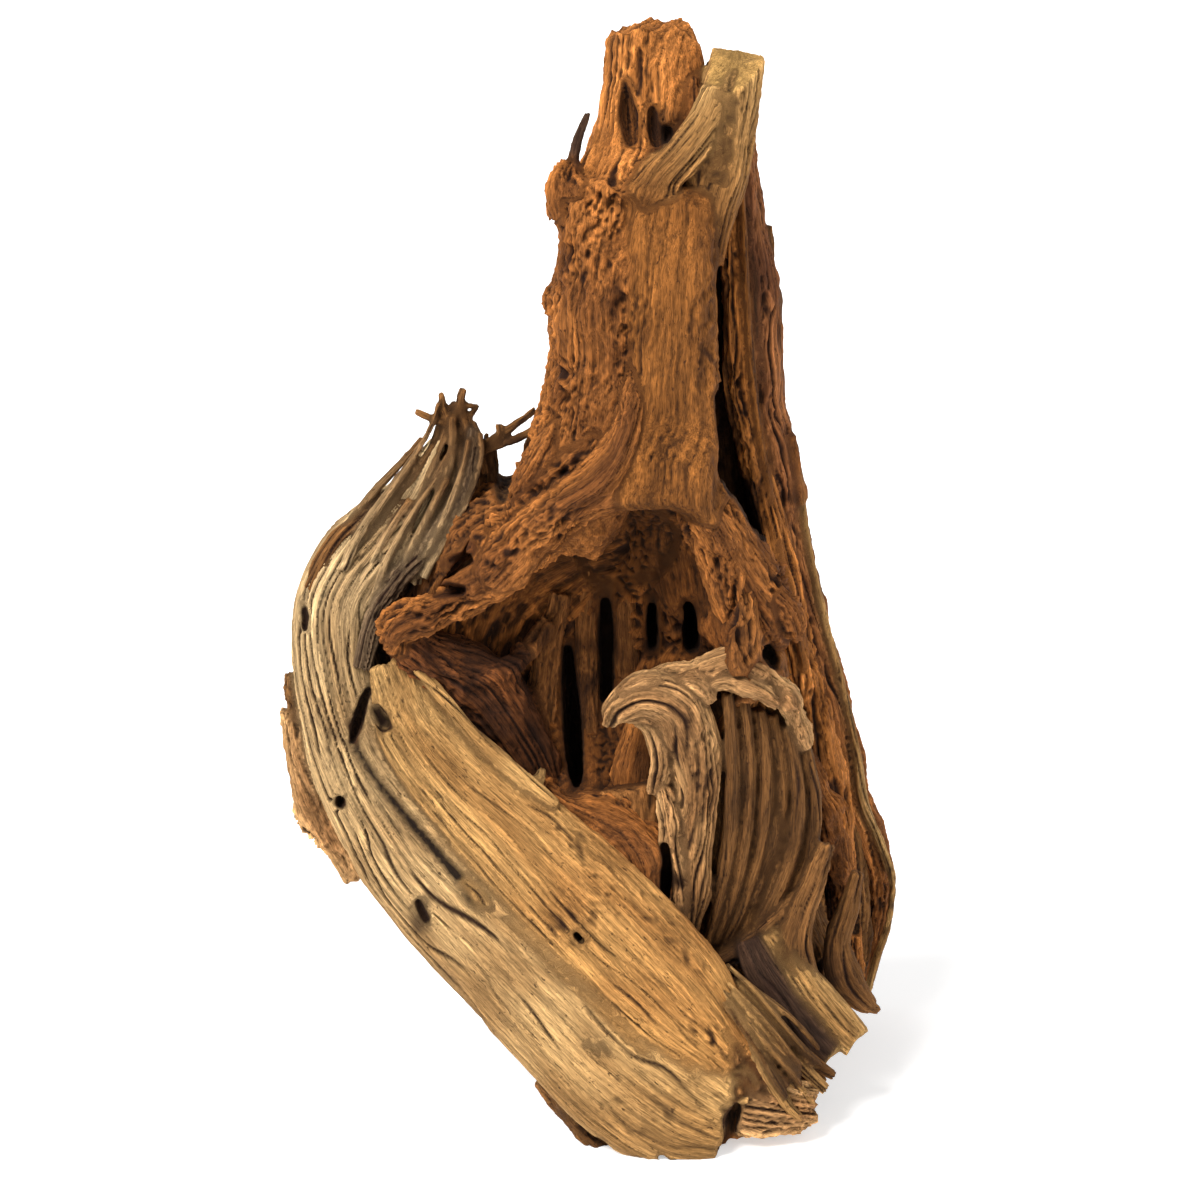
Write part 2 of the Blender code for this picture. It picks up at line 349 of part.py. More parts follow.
OPENINGS = {
    "slot_1": dict(surface="strand", stations=[
        (567, 640, -30, 4, 46), (570, 690, -30, 8, 46), (574, 740, -26, 10, 46), (577, 784, -20, 8, 40)]),
    "slot_2": dict(surface="strand", stations=[
        (605, 584, -24, 4, 50), (606, 640, -30, 7, 46), (606, 712, -30, 5, 46)]),
    "slot_3": dict(surface="strand", stations=[
        (652, 588, -26, 3, 50), (652, 620, -30, 5, 46), (653, 658, -32, 4, 46)]),
    "slot_4": dict(surface="strand", stations=[
        (687, 588, -20, 5, 50), (690, 616, -26, 8, 46), (692, 646, -28, 6, 46)]),
    "stump_hollow_left": dict(surface="strand", stations=[
        (626, 98, 14, 5, 22), (628, 120, 16, 8, 24), (630, 142, 18, 6, 22)]),
    "stump_hollow_right": dict(surface="strand", stations=[
        (664, 122, 14, 9, 20), (670, 140, 18, 11, 22)]),
    "beetle_hole": dict(surface="strand", stations=[
        (339, 796, 60, 5, 30), (339, 809, 60, 5, 30)]),
    "long_crack": dict(surface="strand", stations=[
        (350, 760, 74, 2.5, 12), (392, 806, 84, 3.5, 12), (446, 862, 102, 3.5, 12), (470, 892, 110, 2.5, 10)]),
    "junction_crack": dict(surface="strand", stations=[
        (366, 694, 56, 4, 20), (360, 716, 58, 5, 20), (353, 738, 62, 3, 16)]),
    "oval_hole": dict(surface="strand", stations=[
        (378, 712, 66, 6, 22), (383, 726, 66, 7, 22)]),
    "shell_slit": dict(surface="strand", stations=[
        (302, 604, 30, 2.5, 12), (305, 617, 32, 4, 12), (304, 632, 34, 2.5, 12)]),
    "plank_slot": dict(surface="strand", stations=[
        (418, 902, 90, 3.5, 16), (425, 920, 92, 3.5, 16)]),
    "plank_slot_low": dict(surface="strand", stations=[
        (574, 932, 128, 3, 14), (584, 943, 130, 3, 14)]),
    "plank_notch": dict(surface="strand", stations=[
        (730, 1098, 160, 3, 20), (735, 1124, 160, 8, 24), (738, 1160, 156, 12, 26)]),
    "back_gap": dict(surface="strand", stations=[
        (714, 380, 30, 4, 40), (722, 440, 20, 9, 50), (740, 500, 4, 13, 50), (756, 544, -4, 9, 50),
        (768, 576, -10, 4, 40)]),
    "lump_gap": dict(surface="strand", stations=[
        (665, 840, 64, 5, 30), (666, 876, 64, 6, 30), (664, 912, 64, 4, 30)]),
    "rotten_hole": dict(surface="strand", stations=[
        (858, 868, -70, 8, 34), (860, 910, -80, 11, 34), (858, 950, -90, 7, 34)]),
    "see_through": dict(surface="strand", stations=[
        (516, 444, -20, 9, 90), (509, 464, -20, 9, 90), (504, 488, -20, 6, 90)]),
}


def place(across, down, forward):
    """The points of the sight lines through places in the view, at depths given in steps forward."""
    sine = math.sin(VIEW_TILT)
    cosine = math.cos(VIEW_TILT)
    right = (across - VIEW_CENTRE) * STEP
    up = (VIEW_CENTRE - down) * STEP
    reach = (VIEW_DISTANCE * cosine - forward * STEP) / (VIEW_DISTANCE * cosine + up * sine)
    x = ORIGIN_SHIFT[0] + right * reach
    y = ORIGIN_SHIFT[1] - forward * STEP
    z = VIEW_HEIGHT + VIEW_DISTANCE * sine + (up * cosine - VIEW_DISTANCE * sine) * reach
    return np.stack([x, y, z], axis=-1)


def hashed(x, y, z, seed):
    """Even random numbers, -1 to 1, fixed to whole-number places."""
    mixed = x * 374761393 + y * 668265263 + z * 1274126177 + seed * 974634777
    mixed = (mixed ^ (mixed >> 13)) * 1103515245 & 0x7FFFFFFF
    mixed = (mixed ^ (mixed >> 15)) * 12345677
    return (mixed & 0xFFFFFF) / 0x7FFFFF - 1.0


def lumps(points, seed):
    """Smooth random heights, -1 to 1, at points measured in lumps."""
    whole = np.floor(points).astype(np.int64)
    part = points - whole
    part = part * part * (3 - 2 * part)
    total = np.zeros(points.shape[:-1])
    for corner in np.ndindex(2, 2, 2):
        weight = np.abs(1 - np.array(corner) - part).prod(axis=-1)
        total += weight * hashed(*np.moveaxis(whole + corner, -1, 0), seed)
    return total


def smooth_run(stations, count):
    """Evenly spaced rows of a smooth curve that passes through every station."""
    padded = np.vstack([2 * stations[0] - stations[1], stations, 2 * stations[-1] - stations[-2]])
    run = np.linspace(0, len(stations) - 1 - 1e-9, count)
    first = run.astype(int)
    t = (run - first)[:, None]
    a, b, c, d = (padded[first + offset] for offset in range(4))
    return 0.5 * (2 * b + (c - a) * t + (2 * a - 5 * b + 4 * c - d) * t**2 + (3 * b - a - 3 * c + d) * t**3)


def unit(vectors):
    return vectors / np.linalg.norm(vectors, axis=-1, keepdims=True)


def relief(surface, across, deep, along, seed):
    """How far the wood stands proud, in steps, at places in steps across, deep and along the grain."""
    if isinstance(surface, tuple):
        first, last = (relief(name, across, deep, along, seed) for name in surface)
        return first + (last - first) * along / along.max()
    furrow_height, furrow_spacing, lump_height, lump_length = SURFACES[surface]
    place_in_wood = np.stack([across, deep, along], axis=-1)
    wander = lumps(place_in_wood / GRAIN_WANDER, seed + 7)[..., None] * (0.8, -0.8, 0)
    furrow_shape = (furrow_spacing, furrow_spacing, furrow_spacing * GRAIN_STRETCH)
    ridges = 0.5 - 2 * np.abs(lumps(place_in_wood / furrow_shape + wander, seed))
    swellings = lumps(place_in_wood / (lump_length, lump_length, lump_length * 1.5), seed + 3)
    return furrow_height * ridges + lump_height * swellings


def limb_points(limb, seed):
    """Rings of points round one limb, from its first station to its last, with its relief."""
    stations = np.array(limb["stations"], float)
    length = np.linalg.norm(np.diff(place(*stations.T[:3]), axis=0), axis=1).sum()
    rows = smooth_run(stations, max(int(length / FACET), 2 * len(stations)))
    half_width, half_depth = np.maximum(rows[:, 3:].T[..., None], THINNEST)
    centres = place(*rows.T[:3])
    grain = unit(np.gradient(centres, axis=0))
    sight = np.array([0.0, -math.cos(VIEW_TILT), math.sin(VIEW_TILT)])
    forward = unit(sight - grain * (grain @ sight)[:, None])
    side = np.cross(forward, grain)
    count = int(np.clip(np.pi * (half_width + half_depth).max() * STEP / FACET, FEWEST_SIDES, MOST_SIDES))
    angles = np.arange(count) * 2 * math.pi / count
    power = 2 / limb.get("squareness", 2)
    across = half_width * np.sign(np.cos(angles)) * np.abs(np.cos(angles)) ** power
    deep = half_depth * np.sign(np.sin(angles)) * np.abs(np.sin(angles)) ** power
    steps_along = np.concatenate([[0], np.linalg.norm(np.diff(centres, axis=0), axis=1).cumsum()]) / STEP
    along = np.broadcast_to(steps_along[:, None], across.shape)
    slimness = np.clip(np.minimum(half_width, half_depth) / FULL_RELIEF, 0.15, 1)
    swelling = 1 + relief(limb["surface"], across, deep, along, seed) * slimness / np.hypot(across, deep)
    across = across * swelling
    deep = deep * swelling + limb.get("cup", 0) * (across / half_width) ** 2
    points = centres[:, None] + STEP * (across[..., None] * side[:, None] + deep[..., None] * forward[:, None])
    tooth_places = np.stack([across, deep, np.zeros_like(deep)], axis=-1) / TOOTH
    for end, height in zip((0, -1), limb.get("jag", (0, 0))):
        teeth = height * STEP * lumps(tooth_places[end], seed + 11)
        fade = np.clip(1 - np.abs(np.arange(len(rows)) - end % len(rows)) / (len(rows) * 0.25), 0, 1)
        points += (fade[:, None] * teeth)[..., None] * grain[:, None]
    for end, key in ((0, "cut_start"), (-1, "cut_end")):
        if key in limb:
            saw_off(points, centres[end], grain, limb[key], end)
    return points


def saw_off(points, centre, grain, direction, end):
    """Slides the last rings back along the grain, as far as a plane through the end's centre."""
    across, up, forward = direction
    normal = unit(np.array([across, -forward, up]))
    outward = -1 if end == 0 else 1
    reach = min(len(points) // 2, SAWN_RINGS)
    for row in range(reach) if end == 0 else range(len(points) - reach, len(points)):
        over = np.maximum((points[row] - centre) @ normal, 0)
        points[row] -= outward * (over / max(outward * grain[row] @ normal, 0.2))[:, None] * grain[row]


def add_loft(bm, points):
    """Quads between rings of points, with a fan of triangles over each end."""
    rings = [[bm.verts.new(point) for point in ring] for ring in points]
    for ring, following in zip(rings, rings[1:]):
        for index in range(len(ring)):
            bm.faces.new((ring[index - 1], ring[index], following[index], following[index - 1]))
    for ring, outward in ((rings[0], -1), (rings[-1], 1)):
        tip = bm.verts.new(sum((vert.co for vert in ring), ring[0].co * 0) / len(ring))
        for index in range(len(ring)):
            bm.faces.new((ring[index - 1], ring[index], tip)[::outward])


def lofted(name, limbs, collection):
    """One object that holds the lofts of several limbs."""
    bm = bmesh.new()
    for limb_name, limb in limbs.items():
        add_loft(bm, limb_points(limb, sum(map(ord, limb_name))))
    bmesh.ops.recalc_face_normals(bm, faces=bm.faces)
    mesh = bpy.data.meshes.new(name)
    bm.to_mesh(mesh)
    bm.free()
    made = bpy.data.objects.new(name, mesh)
    collection.objects.link(made)
    return made


def apply_modifiers(obj):
    old = obj.data
    obj.data = bpy.data.meshes.new_from_object(obj.evaluated_get(bpy.context.evaluated_depsgraph_get()))
    obj.modifiers.clear()
    bpy.data.meshes.remove(old)


def fuse(obj):
    """Puts one skin round an object's overlapping limbs."""
    remesh = obj.modifiers.new("skin", "REMESH")
    remesh.mode = "VOXEL"
    remesh.voxel_size = FACET
    apply_modifiers(obj)


def cut(obj, cutter):
    boolean = obj.modifiers.new("cut", "BOOLEAN")
    boolean.operation = "DIFFERENCE"
    boolean.object = cutter
    apply_modifiers(obj)
    bpy.data.objects.remove(cutter)


def join(obj, other):
    bm = bmesh.new()
    bm.from_mesh(obj.data)
    bm.from_mesh(other.data)
    bm.to_mesh(obj.data)
    bm.free()
    bpy.data.objects.remove(other)


def mend(obj):
    """Opens the few places where the skin pinches itself, and closes them again with plain facets."""
    bm = bmesh.new()
    bm.from_mesh(obj.data)
    for _ in range(MOST_MENDS):
        pinched = [edge for edge in bm.edges if len(edge.link_faces) != 2]
        if not pinched:
            break
        bmesh.ops.delete(bm, geom=list({vert for edge in pinched for vert in edge.verts}), context="VERTS")
        bmesh.ops.holes_fill(bm, edges=[edge for edge in bm.edges if len(edge.link_faces) == 1])
        bmesh.ops.triangulate(bm, faces=[face for face in bm.faces if len(face.verts) > 4])
        bmesh.ops.delete(bm, geom=[vert for vert in bm.verts if not vert.link_faces], context="VERTS")
    bmesh.ops.recalc_face_normals(bm, faces=bm.faces)
    bm.to_mesh(obj.data)
    bm.free()


def drop_crumbs(obj):
    """Keeps the largest body of the skin, and removes scraps that the openings cut loose."""
    bm = bmesh.new()
    bm.from_mesh(obj.data)
    unseen = set(bm.verts)
    bodies = []
    while unseen:
        body = []
        waiting = [unseen.pop()]
        while waiting:
            vert = waiting.pop()
            body.append(vert)
            joined = {edge.other_vert(vert) for edge in vert.link_edges} & unseen
            unseen -= joined
            waiting += joined
        bodies.append(body)
    for body in sorted(bodies, key=len)[:-1]:
        bmesh.ops.delete(bm, geom=body, context="VERTS")
    bm.to_mesh(obj.data)
    bm.free()


def lighten(obj):
    """Spends the facets where the wood is most uneven."""
    obj.data.calc_loop_triangles()
    decimate = obj.modifiers.new("facets", "DECIMATE")
    decimate.ratio = TRIANGLES / len(obj.data.loop_triangles)
    decimate.use_collapse_triangulate = True
    apply_modifiers(obj)


def plane_feet(obj, collection):
    """Planes the feet off where they meet the ground."""
    bm = bmesh.new()
    bmesh.ops.create_cube(bm, size=1)
    mesh = bpy.data.meshes.new("ground")
    bm.to_mesh(mesh)
    bm.free()
    ground = bpy.data.objects.new("ground", mesh)
    ground.location.z = GROUND - 0.5
    collection.objects.link(ground)
    cut(obj, ground)
    bm = bmesh.new()
    bm.from_mesh(obj.data)
    bmesh.ops.dissolve_limit(bm, angle_limit=FLAT_ANGLE, verts=bm.verts, edges=bm.edges)
    bmesh.ops.triangulate(bm, faces=bm.faces)
    bm.to_mesh(obj.data)
    bm.free()


def weathered_wood():
    material = bpy.data.materials.new("weathered_wood")
    material.use_nodes = True
    shader = material.node_tree.nodes["Principled BSDF"]
    shader.inputs["Base Color"].default_value = (0.36, 0.19, 0.09, 1)
    shader.inputs["Roughness"].default_value = 0.85
    shader.inputs["Metallic"].default_value = 0.0
    return material


def build():
    for old in list(bpy.data.objects):
        bpy.data.objects.remove(old)
    collection = bpy.data.collections.new("piece_of_driftwood")
    bpy.context.scene.collection.children.link(collection)
    wood = lofted("driftwood", TRUNK_BEHIND, collection)
    fuse(wood)
    hollow = lofted("hollow", HOLLOW, collection)
    fuse(hollow)
    cut(wood, hollow)
    join(wood, lofted("limbs", TRUNK | SLAB | SHELL | CLUSTER | KNOB | ROOTS, collection))
    fuse(wood)
    openings = lofted("openings", OPENINGS, collection)
    fuse(openings)
    cut(wood, openings)
    mend(wood)
    drop_crumbs(wood)
    lighten(wood)
    mend(wood)
    plane_feet(wood, collection)
    wood.data.materials.append(weathered_wood())


build()
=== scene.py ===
"""The looks of a piece of driftwood: its fine grain, cracks and pits, its colours, and a plain studio."""

import math

import bpy
import numpy as np
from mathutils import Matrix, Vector
from mathutils.bvhtree import BVHTree
from mathutils.kdtree import KDTree


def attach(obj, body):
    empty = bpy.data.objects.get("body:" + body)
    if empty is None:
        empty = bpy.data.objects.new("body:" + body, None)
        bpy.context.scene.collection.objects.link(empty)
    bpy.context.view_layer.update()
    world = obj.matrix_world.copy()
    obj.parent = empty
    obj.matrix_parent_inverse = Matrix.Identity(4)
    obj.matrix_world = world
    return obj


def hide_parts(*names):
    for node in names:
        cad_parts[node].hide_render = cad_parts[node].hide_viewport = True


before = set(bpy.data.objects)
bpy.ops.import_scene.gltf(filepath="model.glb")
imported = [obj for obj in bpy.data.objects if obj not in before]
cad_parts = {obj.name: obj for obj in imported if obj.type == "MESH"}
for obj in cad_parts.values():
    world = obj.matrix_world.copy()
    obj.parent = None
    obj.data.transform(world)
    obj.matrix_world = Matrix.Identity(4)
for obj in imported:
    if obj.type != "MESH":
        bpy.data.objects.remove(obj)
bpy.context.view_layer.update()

# The places of the wood's limbs are read from its front view, in steps of one 1200th of the view's width.
# The viewing camera turns them into metres: its distance, its tilt and the real size of a step at the wood.
STEP = 0.0004
VIEW_CENTRE = 600
VIEW_DISTANCE = 2.0
VIEW_TILT = math.radians(19)
VIEW_HEIGHT = 0.2154
VIEW_WIDTH = 0.48
SENSOR = 36.0
ORIGIN_SHIFT = (0.0016, -0.0220)

# The relief's own measures, in steps: how far the grain wanders, how many times longer than wide a furrow is,
# how thick a limb must be to carry its full relief, and the width of a ragged end's teeth.
GRAIN_WANDER = np.array([90, 90, 120])
GRAIN_STRETCH = 9
FULL_RELIEF = 12
TOOTH = 9
THINNEST = 1.5
FEWEST_SIDES = 12
MOST_SIDES = 420
LOFT_SPACING = 0.0012

# Each surface has the height of its furrows, their spacing, the height of its lumps and their length.
SURFACES = {
    "rough": (1.0, 14, 5.5, 24),
    "ridged": (2.6, 18, 3.4, 36),
    "furrowed": (2.8, 13, 3.4, 30),
    "stump": (1.8, 15, 4.5, 24),
    "fine": (1.0, 14, 3.2, 30),
    "crown": (2.0, 15, 2.0, 30),
    "vault": (1.8, 16, 4.0, 34),
    "layered": (3.0, 10, 3.4, 24),
    "lumpy": (1.0, 16, 7.0, 16),
    "shell": (2.0, 15, 1.5, 50),
    "plank": (1.4, 22, 2.0, 60),
    "strand": (0.8, 8, 1.2, 14),
    "slat": (1.2, 10, 1.6, 26),
    "curl": (1.6, 11, 3.0, 24),
    "beam": (1.4, 14, 1.6, 36),
    "broken": (3.0, 16, 4.0, 22),
}

# The fine relief of each surface, in steps: the spacing of its strands, how far they stand over each other,
# the depth of the cracks between them, the height of the fibres, the depth of the pits, and of the
# crumbly rot.
FINE_RELIEF = {
    "rough": (8, 0.8, 0.9, 0.8, 5.0, 6.0),
    "ridged": (11, 2.0, 4.0, 1.2, 3.0, 2.4),
    "furrowed": (9, 1.8, 3.6, 1.2, 3.0, 2.4),
    "stump": (8, 1.4, 2.4, 1.0, 3.0, 3.4),
    "fine": (9, 0.5, 0.9, 0.7, 1.8, 2.2),
    "crown": (10, 1.4, 2.2, 1.0, 0.8, 1.0),
    "vault": (10, 1.6, 2.4, 1.2, 4.0, 4.0),
    "layered": (8, 2.2, 3.4, 1.2, 3.6, 3.6),
    "lumpy": (8, 0.8, 0.9, 0.8, 5.0, 6.0),
    "shell": (11.5, 1.8, 4.6, 0.8, 0.8, 0.6),
    "plank": (19, 0.6, 1.7, 0.8, 1.6, 1.1),
    "strand": (6, 1.3, 2.8, 1.1, 1.4, 1.5),
    "slat": (13, 1.2, 3.0, 1.1, 0.8, 1.1),
    "curl": (9, 1.4, 3.4, 1.0, 2.0, 2.6),
    "beam": (8, 1.0, 2.2, 0.8, 0.6, 0.8),
    "broken": (10, 2.2, 3.6, 1.2, 3.6, 3.6),
}

TRUNK_BEHIND = {
    "core": dict(upright=True, surface="rough", squareness=2.4, stations=[
        (650, 150, -12, 42, 36), (650, 230, -8, 62, 50), (648, 320, -12, 66, 56), (645, 420, -15, 68, 60),
        (640, 500, -40, 74, 62), (655, 600, -112, 105, 56), (660, 700, -120, 116, 58),
        (655, 800, -105, 118, 66),
        (650, 900, -75, 112, 72), (648, 1000, -45, 104, 76), (650, 1085, -20, 96, 70)]),
    "back": dict(surface="ridged", squareness=2.4, stations=[
        (682, 128, -46, 12, 10), (690, 190, -60, 38, 28), (700, 290, -82, 58, 38),
        (706, 400, -96, 70, 44), (716, 520, -118, 80, 46),
        (712, 640, -140, 96, 50), (690, 780, -150, 104, 54), (670, 900, -150, 100, 60),
        (660, 1000, -140, 90, 60)]),
    "hood": dict(surface="vault", squareness=2.6, jag=(0, 22), stations=[
        (655, 478, 10, 78, 72), (640, 530, 6, 138, 86), (612, 590, 0, 186, 94), (594, 650, -14, 198, 92),
        (596, 720, -24, 186, 86), (604, 800, -30, 160, 86), (620, 880, -30, 130, 84)]),
}

TRUNK = {
    "front_face": dict(upright=True, surface="fine", squareness=3.0, stations=[
        (672, 190, 22, 38, 22), (671, 214, 30, 42, 28), (671, 262, 36, 43, 32), (673, 340, 40, 43, 34),
        (674, 420, 46, 46, 36), (670, 450, 58, 49, 40), (663, 476, 74, 52, 35), (658, 494, 86, 54, 22),
        (656, 503, 90, 54, 11)]),
    "hood_roof": dict(swell=True, surface="rough", squareness=2.4, stations=[
        (500, 562, 46, 26, 24), (540, 528, 58, 28, 28), (584, 496, 66, 28, 32), (640, 482, 66, 27, 32),
        (696, 492, 60, 26, 30), (728, 544, 44, 34, 28), (752, 590, 30, 34, 26)]),
    "left_face": dict(upright=True, surface="rough", squareness=2.6, stations=[
        (594, 192, 5, 38, 42), (602, 262, 10, 42, 51), (599, 302, 10, 49, 55), (599, 350, 10, 50, 55),
        (595, 400, 16, 51, 56), (586, 450, 22, 58, 50), (572, 492, 30, 60, 46), (548, 532, 34, 54, 38)]),
    "stump": dict(upright=True, surface="stump", squareness=2.6, jag=(5, 0), stations=[
        (648, 26, -32, 38, 28), (652, 60, -30, 45, 33), (648, 100, -27, 45, 36), (643, 140, -22, 50, 40),
        (638, 186, -14, 62, 46)]),
    "stump_knuckle_right": dict(swell=True, surface="rough", stations=[
        (682, 30, -28, 12, 12), (690, 55, -26, 12, 14), (695, 90, -24, 14, 14)]),
    "stump_knuckle_left": dict(swell=True, surface="rough", stations=[
        (618, 38, -22, 10, 12), (614, 70, -22, 10, 12)]),
    "stump_shards": dict(surface="furrowed", stations=[
        (694, 78, -6, 5, 6), (692, 105, -4, 12, 10), (688, 140, 0, 14, 14)]),
    "stump_dark_shards": dict(surface="furrowed", stations=[
        (712, 62, -40, 5, 6), (712, 90, -38, 12, 10), (706, 130, -34, 14, 16)]),
    "crown": dict(surface="crown", squareness=3, cut_start=(-0.36, 0.73, 0.58), stations=[
        (738, 52, -2, 27, 32), (733, 84, 2, 27, 31), (727, 130, 10, 27, 29), (718, 172, 16, 30, 27),
        (708, 215, 22, 27, 24), (704, 262, 24, 18, 18)]),
    "crown_fin": dict(surface="crown", stations=[
        (720, 90, 18, 16, 14), (706, 122, 28, 18, 15), (684, 152, 36, 19, 16), (658, 182, 38, 18, 18),
        (646, 206, 40, 12, 16)]),
    "left_rim": dict(surface="rough", stations=[
        (571, 160, 6, 10, 11), (566, 182, 10, 18, 18), (574, 214, 12, 24, 24)]),
    "front_rim": dict(swell=True, surface="rough", stations=[
        (566, 186, 14, 12, 12), (590, 188, 28, 11, 12), (622, 192, 38, 11, 12), (650, 192, 46, 13, 13),
        (680, 202, 46, 14, 14), (704, 214, 42, 12, 14)]),
    "face_swell": dict(swell=True, surface="fine", stations=[
        (650, 200, 42, 12, 12), (648, 240, 50, 16, 14), (646, 290, 54, 14, 14), (640, 340, 52, 8, 10)]),
    "left_swell": dict(swell=True, surface="rough", stations=[
        (576, 220, 24, 12, 14), (574, 280, 32, 14, 18), (580, 340, 34, 13, 18), (578, 390, 36, 10, 14)]),
    "rim_twig": dict(surface="strand", stations=[
        (588, 112, 4, 3.2, 3.2), (582, 128, 5, 4.6, 4.4), (576, 146, 6, 6, 5), (573, 168, 8, 7, 6)]),
    "side_knob": dict(swell=True, surface="rough", stations=[
        (549, 284, 6, 5, 6), (549, 297, 6, 7, 8), (555, 312, 6, 6, 8)]),
    "neck_ridge": dict(surface="rough", stations=[
        (636, 330, 44, 5, 8), (634, 380, 58, 8, 14), (630, 420, 72, 12, 20), (618, 454, 84, 18, 24),
        (592, 484, 84, 22, 26), (556, 510, 76, 23, 24), (518, 542, 66, 22, 22), (486, 574, 56, 18, 20)]),
    "neck_ridge_low": dict(surface="rough", stations=[
        (604, 418, 56, 9, 12), (590, 446, 64, 13, 18), (562, 470, 64, 16, 20), (536, 494, 58, 16, 18),
        (508, 522, 48, 16, 18)]),
    "hood_lip": dict(swell=True, surface="vault", stations=[
        (552, 526, 72, 14, 14), (584, 508, 86, 10, 14), (626, 500, 95, 9, 13), (672, 500, 95, 9, 13),
        (702, 511, 86, 11, 14), (726, 544, 70, 15, 14)]),
    "wing_left": dict(surface=("rough", "lumpy"), squareness=2.4, stations=[
        (560, 524, 46, 26, 22), (512, 556, 50, 26, 22), (476, 586, 52, 22, 20), (440, 610, 54, 20, 20),
        (402, 624, 60, 18, 20), (384, 642, 58, 13, 14)]),
    "wing_lump_1": dict(swell=True, surface="lumpy", stations=[
        (548, 540, 66, 12, 12), (524, 560, 68, 18, 16), (504, 584, 66, 15, 14), (494, 600, 62, 7, 8)]),
    "wing_lump_2": dict(swell=True, surface="lumpy", stations=[
        (470, 572, 58, 8, 8), (456, 592, 62, 13, 12), (430, 606, 64, 15, 12), (404, 616, 66, 12, 12)]),
    "wing_lump_3": dict(swell=True, surface="lumpy", stations=[
        (500, 520, 44, 10, 10), (486, 540, 50, 16, 14), (470, 556, 50, 10, 10)]),
    "neck_flake_1": dict(surface="rough", stations=[
        (556, 420, 58, 5, 8), (548, 444, 62, 11, 12), (532, 474, 62, 13, 12), (510, 500, 56, 7, 8)]),
    "neck_flake_2": dict(surface="rough", stations=[
        (590, 400, 54, 5, 8), (584, 424, 60, 10, 12), (570, 452, 64, 10, 12), (556, 476, 66, 5, 7)]),
    "wing_right": dict(surface="rough", squareness=2.4, stations=[
        (704, 514, 62, 22, 24), (726, 552, 50, 32, 28), (746, 590, 36, 38, 30), (764, 616, 24, 34, 26),
        (776, 640, 10, 20, 18)]),
    "wing_right_nub": dict(surface="rough", stations=[
        (770, 592, 40, 16, 16), (788, 618, 34, 17, 16), (796, 638, 28, 8, 10)]),
    "left_wall": dict(surface="layered", squareness=2.4, stations=[
        (402, 640, 48, 18, 18), (436, 668, 40, 38, 24), (480, 700, 22, 46, 28), (520, 750, 6, 40, 28),
        (548, 796, 0, 26, 22)]),
    "lap_1": dict(swell=True, surface="layered", stations=[
        (388, 636, 64, 10, 10), (410, 660, 64, 13, 12), (444, 676, 56, 15, 13), (486, 676, 38, 15, 13),
        (522, 656, 14, 13, 12), (548, 620, -10, 11, 11)]),
    "lap_2": dict(surface="layered", stations=[
        (398, 668, 50, 9, 10), (430, 702, 46, 12, 12), (470, 720, 30, 12, 13), (508, 720, 6, 12, 13),
        (540, 704, -18, 10, 11)]),
    "lap_3": dict(swell=True, surface="layered", stations=[
        (430, 726, 36, 11, 12), (466, 752, 24, 13, 13), (506, 760, 2, 12, 13), (540, 752, -18, 10, 11)]),
    "lap_4": dict(surface="layered", stations=[
        (470, 770, 30, 11, 12), (506, 790, 16, 13, 13), (540, 796, 2, 11, 12)]),
    "cavity_stave_1": dict(surface="fine", squareness=3, stations=[
        (560, 590, -30, 12, 14), (548, 650, -24, 15, 18), (540, 720, -18, 17, 20), (536, 780, -8, 15, 20),
        (540, 806, 0, 9, 14)]),
    "cavity_stave_2": dict(surface="fine", squareness=3, stations=[
        (592, 566, -34, 10, 14), (586, 630, -32, 12, 18), (588, 700, -26, 13, 18), (592, 790, -18, 12, 18)]),
    "cavity_stave_3": dict(surface="fine", squareness=3, stations=[
        (624, 560, -34, 11, 14), (626, 640, -36, 13, 18), (628, 720, -34, 14, 18), (622, 800, -20, 14, 18)]),
    "cavity_stave_4": dict(surface="fine", squareness=3, stations=[
        (668, 560, -34, 12, 14), (670, 630, -38, 13, 16), (668, 700, -40, 14, 18)]),
    "cavity_stave_5": dict(surface="fine", squareness=3, stations=[
        (704, 566, -24, 14, 16), (712, 620, -30, 15, 18), (712, 690, -34, 14, 18)]),
    "cavity_floor": dict(surface="rough", squareness=2.4, stations=[
        (520, 806, 26, 28, 26), (560, 830, 26, 36, 30), (610, 850, 26, 40, 34), (660, 880, 20, 40, 40)]),
    "stump_ledge": dict(swell=True, surface="rough", stations=[
        (586, 176, 2, 14, 12), (612, 172, 14, 16, 16), (644, 166, 20, 18, 18), (672, 150, 20, 14, 14)]),
    "lump_ridge": dict(surface="lumpy", stations=[
        (542, 792, 58, 10, 12), (566, 806, 60, 18, 18), (600, 822, 62, 28, 24), (632, 846, 62, 32, 28),
        (650, 884, 62, 26, 28), (662, 922, 60, 17, 22), (674, 948, 56, 9, 14)]),
    "red_column": dict(surface="fine", squareness=3, stations=[
        (646, 722, 4, 20, 22), (636, 770, 8, 25, 24), (634, 810, 14, 26, 24), (646, 850, 20, 22, 24)]),
}

